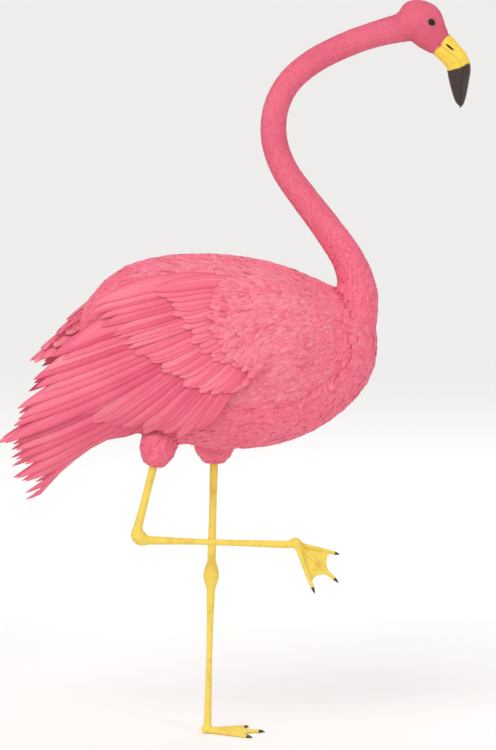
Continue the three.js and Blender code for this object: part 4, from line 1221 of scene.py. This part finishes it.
def feather_atlas(count, first, total):
    """The bake map of long feathers: each has its own narrow cell of a square sheet."""
    across, down = 30, math.ceil(total / 30)
    k = first + np.arange(count)
    share, aside = VANE[0][:, 0], VANE[0][:, 1]
    u = (k % across)[:, None] + 0.1 + 0.8 * (aside * 0.5 + 0.5)[None]
    v = (k // across)[:, None] + 0.06 + 0.88 * share[None]
    return np.stack([u / across, v / down], -1)


ARM = {"x": [198, -96], "angle": [0.36, 2.05], "rows": 44, "across": 26}


def arm_lift(x, angle):
    """How far the arm and its muscles stand off the trunk."""
    from_front = smoothly(x, ARM["x"][0], ARM["x"][0] - 80)
    from_rear = smoothly(x, -50, 70)
    over = smoothly(angle, ARM["angle"][0], ARM["angle"][0] + 0.55)
    under = smoothly(angle, ARM["angle"][1], ARM["angle"][1] - 0.6)
    return -5.5 + (7 + 6.5 * from_rear) * from_front * over * under


def arms():
    """Each arm as a low closed swelling on the trunk's side, left and right."""
    bm = bmesh.new()
    bmesh.ops.create_grid(bm, x_segments=ARM["rows"], y_segments=ARM["across"], size=0.5)
    outer = bmesh.ops.extrude_face_region(bm, geom=bm.faces[:], use_keep_orig=True)["geom"]
    bmesh.ops.translate(bm, vec=(0, 0, 1), verts=[g for g in outer if isinstance(g, bmesh.types.BMVert)])
    flat = np.array([v.co for v in bm.verts])
    x = np.interp(flat[:, 0], [-0.5, 0.5], ARM["x"])
    angle = np.interp(flat[:, 1], [-0.5, 0.5], ARM["angle"])
    lift = np.where(flat[:, 2] > 0.5, arm_lift(x, angle), -9)
    for v, p in zip(bm.verts, on_trunk(x, angle, lift)):
        v.co = p
    face_outward(bm)
    left = mesh_of(bm, "arm")
    bmesh.ops.scale(bm, vec=Vector((1, -1, 1)), verts=bm.verts)
    bmesh.ops.reverse_faces(bm, faces=bm.faces)
    right = mesh_of(bm, "arm")
    bm.free()
    return left, right


def lesser_coverts(lining, long, body, draw):
    """Small feathers over the arm and the roots of the long ones: they point back from the front edge, then fan
    out from the shoulder."""
    arm, ground = Surface(lining), Surface(lining, long, body)
    at, normal = arm.candidates(np.full(len(arm.triangles), 3.4), draw, 4)
    off = at[:, [0, 2]] - np.array(WING_ROOT)
    reach = np.hypot(off[:, 0], off[:, 1])
    radial = np.stack([off[:, 0], 0 * reach, off[:, 1]], -1) / np.maximum(reach, 1)[:, None]
    back = np.array([-1, 0, -0.28])
    degrees = np.degrees(np.arctan2(-off[:, 1], -off[:, 0]))
    weight = (smoothly(reach, 20, 75) * smoothly(-off[:, 0], -10, 40) * smoothly(degrees, 76, 58))[:, None]
    way = unit(back * (1 - weight) + radial * weight)
    above = Surface(long).tree
    onto = way * draw.uniform(8, 24, (len(at), 1))
    bare = ~covered_by(above, at, normal) | ~covered_by(above, at - onto, normal)
    rows = draw.permutation(np.flatnonzero((normal[:, 1] > 0.05) & bare))
    rows = rows[thin_out(at[rows], np.full(len(rows), 3.4))]
    at, normal, way = at[rows], normal[rows], way[rows]
    length = np.interp(at[:, 0], [0, 120, 200], [26, 23, 20])
    wrap = np.clip(np.stack([(at[:, 0] + 120) / 340, (at[:, 2] - 400) / 340], -1), 0, 1)
    low = (degrees[rows] > 52) & (reach[rows] > 150)  # there the long feathers lie over them
    corners = np.empty((len(rows), len(BODY_TUFT[0]), 3))
    for part, below, rise in ((~low, ground, 0.065), (low, Surface(lining, body), 0.02)):
        corners[part] = plant(below, at[part], normal[part], way[part], length[part], length[part] * 0.46,
                              length[part] * rise, BODY_TUFT[0], draw, 0.08)
    return corners, wrap


def wing(side, seed, lining, body):
    """A folded wing: the arm, tiers of long feathers from the body outward, and small ones over the shoulder."""
    draw = np.random.default_rng(seed)
    pad, pad_faces = places_of(lining), [np.array(p.vertices) for p in lining.polygons]
    total = sum(tier["count"] for tier in TIERS) + 1
    feathers, tints = [], []
    for tier in TIERS:
        for i in range(tier["count"]):
            feathers.append(wing_feather(tier, i / (tier["count"] - 1), draw))
            tints.append(tier["tint"] + 0.6 * draw.normal())
    feathers = np.array(feathers)
    vane = np.stack([VANE[0][:, 1] * 0.5 + 0.5, VANE[0][:, 0]], -1)
    sheet = feather_atlas(len(feathers), 0, total) * [1, 0.5]
    long = feather_mesh("long", [(feathers, VANE[1], vane, sheet, np.array(tints))])
    small, wrap = lesser_coverts(lining, long, body, draw)
    bpy.data.meshes.remove(long)
    small_vane, patches = tuft_maps(BODY_TUFT, wrap * [1, 0.38] + [0, 0.6])
    pad_map = np.stack([(pad[:, 0] + 120) / 340, (pad[:, 2] - 400) / 340 * 0.05 + 0.52], -1)[None]
    sets = [
        (pad[None], pad_faces, np.full((len(pad), 2), 0.5), np.clip(pad_map, 0.001, 0.999), np.array([0.0])),
        (feathers, VANE[1], vane, sheet, np.array(tints)),
        (small, BODY_TUFT[1], small_vane, patches, 0.8 * draw.normal(0, 1, len(small))),
    ]
    if side < 0:
        sets = [(corners * [1, -1, 1], *rest) for corners, *rest in sets]
    name = "wing_left" if side > 0 else "wing_right"
    made = shown(feather_mesh(name + "_feathers", sets), name + "_feathers", [long_feathers])
    return finish_piece(made, "plumage", name)


# spread: degrees to each side. root and tip: reach. rise: off the middle plane, less by step for each feather
# outward. roll: how much more an outer feather slopes than it turns aside.
TAIL_TIERS = [
    {"count": 15, "spread": 15, "root": 66, "tip": 154, "wide": 19, "rise": 2.5, "step": 1.5, "roll": 2.2},
    {"count": 13, "spread": 17, "root": 52, "tip": 124, "wide": 18, "rise": 6.5, "step": 1.7, "roll": 2.8},
    {"count": 11, "spread": 19, "root": 30, "tip": 98, "wide": 18, "rise": 10.5, "step": 2.1, "roll": 3.2},
    {"count": 17, "spread": 25, "root": 8, "tip": 90, "wide": 17, "rise": 8.5, "step": 1.9, "roll": 3.3},
    {"count": 15, "spread": 21, "root": -8, "tip": 72, "wide": 18, "rise": 15.5, "step": 2.2, "roll": 3.3},
    {"count": 11, "spread": 15, "root": 50, "tip": 126, "wide": 18, "rise": -4, "step": -1.1, "roll": -2.0},
    {"count": 9, "spread": 16, "root": 30, "tip": 96, "wide": 18, "rise": -8, "step": -1.5, "roll": -2.4},
]


def tail_feather(tier, place, draw):
    """A feather of the tail: place runs from -1 to 1 across it."""
    root = np.array(TAIL_ROOT, float)
    way = np.array([-math.cos(TAIL_SLOPE), 0, -math.sin(TAIL_SLOPE)])
    up = np.array([-math.sin(TAIL_SLOPE), 0, math.cos(TAIL_SLOPE)])
    degrees = tier["spread"] * place
    turn = math.radians(degrees)
    onward = way * math.cos(turn) + np.array([0, 1, 0]) * math.sin(turn)
    outward = np.array(Matrix.Rotation(math.radians(tier["roll"] * degrees), 3, Vector(way)) @ Vector(up))
    across = unit(np.cross(onward, outward))
    end = tier["tip"] * (1 + 0.03 * draw.normal()) * (1 - 0.1 * place * place)
    rise = tier["rise"] - tier["step"] * abs(place) * tier["count"] / 2
    faces = 1 if tier["rise"] > 0 else -1

    def lay(share, aside, lift):
        reach = tier["root"] + (end - tier["root"]) * share
        lifted = rise + lift * faces
        return root + onward * reach[:, None] + across * aside[:, None] + outward * lifted[:, None]

    return vane_corners(lay, tier["wide"], ROUNDED, draw)


def tail():
    """Rectrices in a low roof, with coverts over and under their roots."""
    draw = np.random.default_rng(31)
    vane = np.stack([VANE[0][:, 1] * 0.5 + 0.5, VANE[0][:, 0]], -1)
    total = sum(tier["count"] for tier in TAIL_TIERS)
    sets, first = [], 0
    for tier in TAIL_TIERS:
        count = tier["count"]
        feathers = np.array([tail_feather(tier, 2 * i / (count - 1) - 1, draw) for i in range(count)])
        sets.append((feathers, VANE[1], vane, feather_atlas(count, first, total), 0.7 * draw.normal(0, 1, count)))
        first += count
    return finish_piece(shown(feather_mesh("tail_feathers", sets), "tail_feathers", [long_feathers]),
                        "plumage", "tail")


# ---------------------------------------------------------------- bill and eyes

BEND_LONG = BILL["bend_radius"] * BILL["bend"]
BILL_LONG = BILL["straight"] + BEND_LONG + BILL["tip"]
bill_at = through(BILL_DEPTHS)


def mouth(share):
    """The mouth's line in the head's frame at a share of its length: the point and the way forward."""
    long = share * BILL_LONG
    turn = min(max((long - BILL["straight"]) / BILL["bend_radius"], 0), BILL["bend"])
    forward = Vector((math.cos(turn), 0, -math.sin(turn)))
    x = HEAD_FRONT + 0.3 + min(long, BILL["straight"]) + BILL["bend_radius"] * math.sin(turn)
    z = BILL["mouth_up"] - BILL["bend_radius"] * (1 - math.cos(turn))
    return Vector((x, 0, z)) + forward * max(0, long - BILL["straight"] - BEND_LONG), forward


def bill_half(above, end, names, nodes):
    """The upper or lower half: flat where it meets the other, round and grooved outside. It is cut where its
    dark tip starts."""
    bm = bmesh.new()
    circle = bmesh.ops.create_circle(bm, segments=96, radius=1)["verts"]
    outline = list({e for v in circle for e in v.link_edges})
    for v in circle:
        v.co.y = max(v.co.y, 0) ** BILL["square"]
        v.co.x *= 1 - 0.09 * math.exp(-((v.co.y / 0.09) ** 2))  # the mouth's edge is rounded in
    steps = round((end - BILL["starts"]) * BILL_LONG / 1.2)
    frames = []
    for share in np.linspace(BILL["starts"], end, steps + 1):
        point, forward = mouth(share)
        upper, lower, wide = bill_at(share)
        across = Vector((0, 1 if above else -1, 0))
        up = forward.cross(Vector((0, 1, 0))) * (1 if above else -1)
        tip = math.sqrt(max(0.0, 1 - max(0.0, 1 - (end - share) / 0.07) ** 2))  # rounded off at its end
        root = 1 - 0.08 * (1 - smoothly(share * BILL_LONG, 0, 5))  # the face's feathers lap over it there
        deep, wide = (upper if above else lower) * (0.1 + 0.9 * tip) * root, wide * (0.3 + 0.7 * tip) * root
        turn = Matrix((across * wide, up * deep, across.cross(up))).transposed().to_4x4()
        frames.append(Matrix.Translation(point + up * BILL["gap"]) @ turn)
    sweep(bm, outline, frames)
    ridge_and_groove(bm, above, BILL["starts"], end)
    inner = [v for v in bm.verts if len(v.link_edges) == 4 and v.co.x > HEAD_FRONT + 2]
    for _ in range(3):
        bmesh.ops.smooth_vert(bm, verts=inner, factor=0.5, use_axis_x=True, use_axis_y=True, use_axis_z=True)
    seam, forward = mouth(BILL["dark_from"])
    made = []
    for tip, name, slot, node_name in zip((False, True), names, ("bill", "bill_tip"), nodes):
        part = bm.copy()
        bmesh.ops.bisect_plane(part, geom=part.verts[:] + part.edges[:] + part.faces[:], plane_co=seam,
                               plane_no=forward, clear_inner=tip, clear_outer=not tip)
        bmesh.ops.contextual_create(part, geom=[e for e in part.edges if e.is_boundary])
        face_outward(part)
        bmesh.ops.transform(part, matrix=HEAD, verts=part.verts)
        horny = piece(part, name, [horn])
        if above and not tip:
            horny = cut_nostrils(horny, name)
        mark(horny.data, "along", share_along(to_head(places_of(horny.data))))
        made.append(finish_piece(horny, slot, node_name))
    bm.free()
    return made[0]


def mouth_gap_shade():
    """The mouth's flesh as a dark line between the closed halves: painted shade in the gap."""
    bm = bmesh.new()
    circle = bmesh.ops.create_circle(bm, segments=24, radius=1)["verts"]
    outline = list({e for v in circle for e in v.link_edges})
    frames = []
    for share in np.linspace(0.02, 0.93, 40):
        point, forward = mouth(share)
        frames.append(ring_frame(point, forward, (0, 1, 0), bill_at(share)[2] * 0.84, 0.8))
    sweep(bm, outline, frames)
    bmesh.ops.transform(bm, matrix=HEAD, verts=bm.verts)
    made = piece(bm, "mouth_gap_shade", [slit_shade_finish])
    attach(made, "root")


def feather_edge(body, halves):
    """Tiny feathers that run out over the bill's root, furthest on the forehead and beside the gape."""
    draw = np.random.default_rng(23)
    surface = Surface(*[half.data for half in halves])
    at, normal = surface.candidates(np.full(len(surface.triangles), 0.55), draw, 4)
    x, y, z = to_head(at).T
    forehead = 5.5 * np.exp(-((y / 7) ** 2)) * (z > 0)
    gape = 3.0 * np.exp(-(((z - BILL["mouth_up"]) / 5) ** 2))
    chin = 3.5 * np.exp(-((y / 7) ** 2)) * (z < -15)
    edge = HEAD_FRONT + 0.6 + np.maximum(np.maximum(forehead, gape), chin) + 0.3 * draw.normal(0, 1, len(at))
    out = unit(np.stack([0 * x, y, z - BILL["mouth_up"]], -1)) @ HEAD_TURN.T
    rows = np.flatnonzero((x > HEAD_FRONT - 2.5) & (x < edge) & ((normal * out).sum(-1) > 0.3))
    rows = draw.permutation(rows)
    rows = rows[thin_out(at[rows], np.full(len(rows), 0.55))]
    way = np.broadcast_to(-HEAD_TURN[:, 0], (len(rows), 3))
    size = np.full(len(rows), 1.0)
    ground = Surface(body, *[half.data for half in halves])
    corners = plant(ground, at[rows], normal[rows], way, 2.0 * size, 0.7 * size, 0.35 * size, HAIR_TUFT[0], draw)
    wrap = np.stack([y[rows] / 60 + 0.5, (z[rows] + 40) / 80], -1)
    vane, bake = tuft_maps(HAIR_TUFT, wrap)
    mesh = feather_mesh("coat_bill_edge", [(corners, HAIR_TUFT[1], vane, bake, draw.normal(0, 1, len(rows)))])
    made = shown(mesh, "coat_bill_edge", [small_feathers])
    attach(made, "root")


def share_along(places):
    """The share of the bill's length at places in the head's frame."""
    shares = np.linspace(-0.05, 1, 300)
    line = np.array([mouth(s)[0] for s in shares])
    best = ((places[:, None, [0, 2]] - line[None][:, :, [0, 2]]) ** 2).sum(-1).argmin(1)
    return shares[best]


def ridge_and_groove(bm, above, start, end):
    """A flattened ridge along the middle, and a groove along each side, as on the real bill."""
    places = np.array([v.co for v in bm.verts])
    shares = np.linspace(start, end, 200)
    line = np.array([mouth(s)[0] for s in shares])
    forward = np.array([mouth(s)[1] for s in shares])
    best = ((places[:, None] * [1, 0, 1] - line[None]) ** 2).sum(-1).argmin(1)
    up = np.cross(forward[best], [0, 1, 0]) * (1 if above else -1)
    rise = ((places - line[best]) * up).sum(-1)
    depths = bill_at(shares[best])
    deep, wide = depths[:, 0 if above else 1], depths[:, 2]
    angle = np.arctan2(rise / deep, np.abs(places[:, 1]) / wide)
    window = smoothly(shares[best], -0.02, 0.12) * (1 - smoothly(shares[best], 0.8, 0.95))
    groove = 0.75 * np.exp(-(((angle - 0.62) / 0.13) ** 2)) * window
    ridge = 0.6 * np.exp(-(((angle - math.pi / 2) / 0.3) ** 2)) * window if above else 0
    away = unit(places - line[best])
    moved = places + away * (ridge - groove)[:, None]
    for v, p in zip(bm.verts, moved):
        v.co = p


def cut_nostrils(made, name):
    """Cuts a long slit in each side of the upper half, whose walls take the cutter's dark material as painted shade."""
    point, _ = mouth(NOSTRIL["along"] / BILL_LONG)
    bm = bmesh.new()
    for side in (1, -1):
        ball = bmesh.ops.create_uvsphere(bm, u_segments=24, v_segments=12, radius=1)["verts"]
        size = Matrix.Diagonal((NOSTRIL["long"], NOSTRIL["deep"], NOSTRIL["high"], 1))
        move = Matrix.Translation((point.x, side * NOSTRIL["out"], point.z + NOSTRIL["up"]))
        bmesh.ops.transform(bm, matrix=HEAD @ move @ size, verts=ball)
    cutter = piece(bm, "cutter", [slit_shade_finish])
    settings = {"operation": "DIFFERENCE", "solver": "EXACT", "material_mode": "TRANSFER", "object": cutter}
    mesh = with_modifiers(made, ("BOOLEAN", settings))
    bpy.data.objects.remove(cutter)
    return shown(mesh, name, [])


def eye(side):
    """An eyeball with its clear bulge in front."""
    bm = bmesh.new()
    bmesh.ops.create_uvsphere(bm, u_segments=48, v_segments=28, radius=EYE["ball"])
    gaze = []
    for v in bm.verts:
        away = v.co.normalized()
        angle = math.acos(max(-1, min(1, away.z)))
        gaze.append(angle)
        bulge = max(0, 1 - (angle / math.radians(44)) ** 2)
        v.co += away * 0.9 * bulge**2
    bmesh.ops.transform(bm, matrix=eye_frame(side), verts=bm.verts)
    name = "eye_left" if side > 0 else "eye_right"
    made = piece(bm, name + "_ball", [eye_finish])
    mark(made.data, "gaze", gaze)
    return finish_piece(made, "eye", name)


# ---------------------------------------------------------------- legs, feet and claws

FOOT_TURN = {
    "left": Matrix.Identity(4),
    "right": (Matrix.Rotation(TOES_DOWN, 4, "Y") @ Matrix.Rotation(TOES_TWIST, 4, "X")),
}


def foot_frame(side):
    return Matrix.Translation(Vector(LEGS[side][2])) @ FOOT_TURN[side]


def leg(side):
    """The bare leg and foot as one, with rows of scutes down its front and along its toes."""
    hip, knob, sole = LEGS[side]
    points, halves = leg_course(hip, knob, sole)
    bm = bmesh.new()
    tube(bm, points, halves, 28)
    bmesh.ops.translate(bm, vec=Vector(ORIGIN), verts=bm.verts)
    bmesh.ops.scale(bm, vec=Vector((MM, MM, MM)), verts=bm.verts)
    bm.from_mesh(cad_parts[f"foot_{side}"].data)
    bmesh.ops.remove_doubles(bm, verts=bm.verts, dist=1e-6)
    raw = piece(bm, "leg", [], placed=True)
    mesh = with_modifiers(
        raw, ("REMESH", {"mode": "VOXEL", "voxel_size": 0.8 * MM}), ("SMOOTH", {"factor": 0.5, "iterations": 7}))
    places, normals = places_of(mesh), normals_of(mesh)
    run = np.r_[0, np.cumsum(np.linalg.norm(np.diff(points, axis=0), axis=1))]
    near = np.concatenate([((block[:, None] - points) ** 2).sum(-1).argmin(1)
                           for block in np.array_split(places, 12)])
    onward = unit(np.gradient(points, axis=0))[near]
    along = run[near] + ((places - points[near]) * onward).sum(-1)
    off = places - points[near]
    front = (off * np.cross(onward, [0, 1, 0])).sum(-1)
    around = np.abs(np.arctan2(off[:, 1], front))
    in_foot = (places - np.array(foot_frame(side).translation)) @ np.array(foot_frame(side).to_3x3())
    in_ball = near > len(points) - 5
    scute = along / SCUTE + 0.5 * smoothly(around, 1.1, 1.9) - 0.16 * np.cos(around) + 0.1 * np.sin(along * 0.7)
    scute = np.where(in_ball, 0.5, scute)  # the web and the ball are only pebbled
    for degrees, long, half in TOES.values():
        way = np.array([math.cos(math.radians(degrees)), math.sin(math.radians(degrees))])
        onto, across = in_foot[:, :2] @ way, np.abs(in_foot[:, :2] @ [-way[1], way[0]])
        on_toe = in_ball & (onto > 11) & (across < half + 0.4) & (in_foot[:, 2] > 1)
        scute = np.where(on_toe, (onto + 0.4 * across) / 3.2, scute)
    fold = scute % 1
    step = 0.26 * (smoothly(fold, 0, 0.2) - 0.6 * smoothly(fold, 0.5, 1))
    put_places(mesh, places + normals * step[:, None])
    mark(mesh, "scute", scute)
    made = shown(mesh, f"leg_{side}", [leg_finish], sharp=80)
    nodes = [f"{part}_{side}" for part in ("tibia", "hock", "tarsus", "foot")]
    return finish_piece(made, "leg_skin", *nodes)


def claw(side, toe):
    """A short curved claw."""
    angle, long, half = TOES[toe]
    way = np.array([math.cos(math.radians(angle)), math.sin(math.radians(angle)), 0])
    rise = half - CLAW["sole"]
    share = np.linspace(0, 1, 12)[:, None]
    start = way * (long - 1.5) + [0, 0, rise]
    middle = way * (long + CLAW["long"] * 0.6) + [0, 0, rise + 0.9]
    end = way * (long + CLAW["long"]) + [0, 0, 1.0]
    points = start * (1 - share) ** 2 + middle * 2 * share * (1 - share) + end * share**2
    halves = evenly(CLAW["halves"])(share[:, 0])[:, 0] * half
    bm = bmesh.new()
    tube(bm, points, halves, 16, across=np.cross([0, 0, 1], way))
    for v in bm.verts:
        v.co.z = max(v.co.z, 0)  # worn flat by the ground
    bmesh.ops.transform(bm, matrix=foot_frame(side), verts=bm.verts)
    made = piece(bm, f"claw_{side}_{toe}_horn", [claw_finish])
    return finish_piece(made, "claw", f"claw_{side}_{toe}")


# ---------------------------------------------------------------- the bird

body = skin()
left_arm, right_arm = arms()
coat(body, (left_arm, right_arm))
cape(body, (left_arm, right_arm))
for side, seed in ((1, 7), (-1, 19)):
    wing(side, seed, left_arm, body.data)
    eye(side)
tail()
upper = bill_half(True, 1, ("bill_upper_horn", "bill_upper_tip_horn"), ("bill_upper", "bill_upper_tip"))
lower = bill_half(False, BILL["lower_ends"], ("bill_lower_horn", "bill_lower_tip_horn"),
                  ("bill_lower", "bill_lower_tip"))
feather_edge(body.data, (upper, lower))
mouth_gap_shade()
for side in LEGS:
    leg(side)
    for toe in TOES:
        claw(side, toe)

# ---------------------------------------------------------------- studio

VIEW = {"x": 55.5, "z": 544.5, "high": 1125, "away": 6000, "rise": math.radians(6)}
KEY = {"from": (-1.8, -3.0, 3.2), "strength": 1.15, "spread": math.radians(40)}  # a wide panel far off
# place in metres, size in metres and power in watts of each softbox
SOFTBOXES = [[(1.9, -2.6, 2.1), 0.6, 14], [(0.6, 2.8, 2.8), 2.2, 24]]


def studio():
    scene = bpy.context.scene
    bm = bmesh.new()
    edge = bmesh.ops.create_grid(bm, x_segments=1, y_segments=1, size=150000)["verts"]
    bmesh.ops.translate(bm, vec=(0, 0, -0.4), verts=edge)
    floor = piece(bm, "studio_floor", [studio_paper()])

    camera = bpy.data.objects.new("camera", bpy.data.cameras.new("camera"))
    scene.collection.objects.link(camera)
    target = Vector(to_frame([VIEW["x"], 0, VIEW["z"]]))
    back = Vector((0, -math.cos(VIEW["rise"]), math.sin(VIEW["rise"])))
    camera.location = target + back * VIEW["away"] * MM
    camera.rotation_euler = (-back).to_track_quat("-Z", "Y").to_euler()
    camera.data.sensor_fit = "VERTICAL"
    camera.data.sensor_height = 24
    camera.data.lens = 24 * VIEW["away"] / VIEW["high"]
    camera.data.clip_end = 400
    scene.camera = camera

    world = bpy.data.worlds.new("studio")
    world.use_nodes = True
    world.node_tree.nodes["Background"].inputs["Color"].default_value = linear("#ffffff")
    world.node_tree.nodes["Background"].inputs["Strength"].default_value = 0.68
    scene.world = world
    key = bpy.data.objects.new("key", bpy.data.lights.new("key", "SUN"))
    key.data.energy, key.data.angle = KEY["strength"], KEY["spread"]
    key.rotation_euler = (-Vector(KEY["from"])).to_track_quat("-Z", "Y").to_euler()
    scene.collection.objects.link(key)
    for place, size, power in SOFTBOXES:
        light = bpy.data.objects.new("softbox", bpy.data.lights.new("softbox", "AREA"))
        light.data.shape, light.data.size, light.data.energy = "SQUARE", size, power
        light.location = place
        light.rotation_euler = (target - Vector(place)).to_track_quat("-Z", "Y").to_euler()
        scene.collection.objects.link(light)
    scene.view_settings.view_transform = "Standard"


studio()
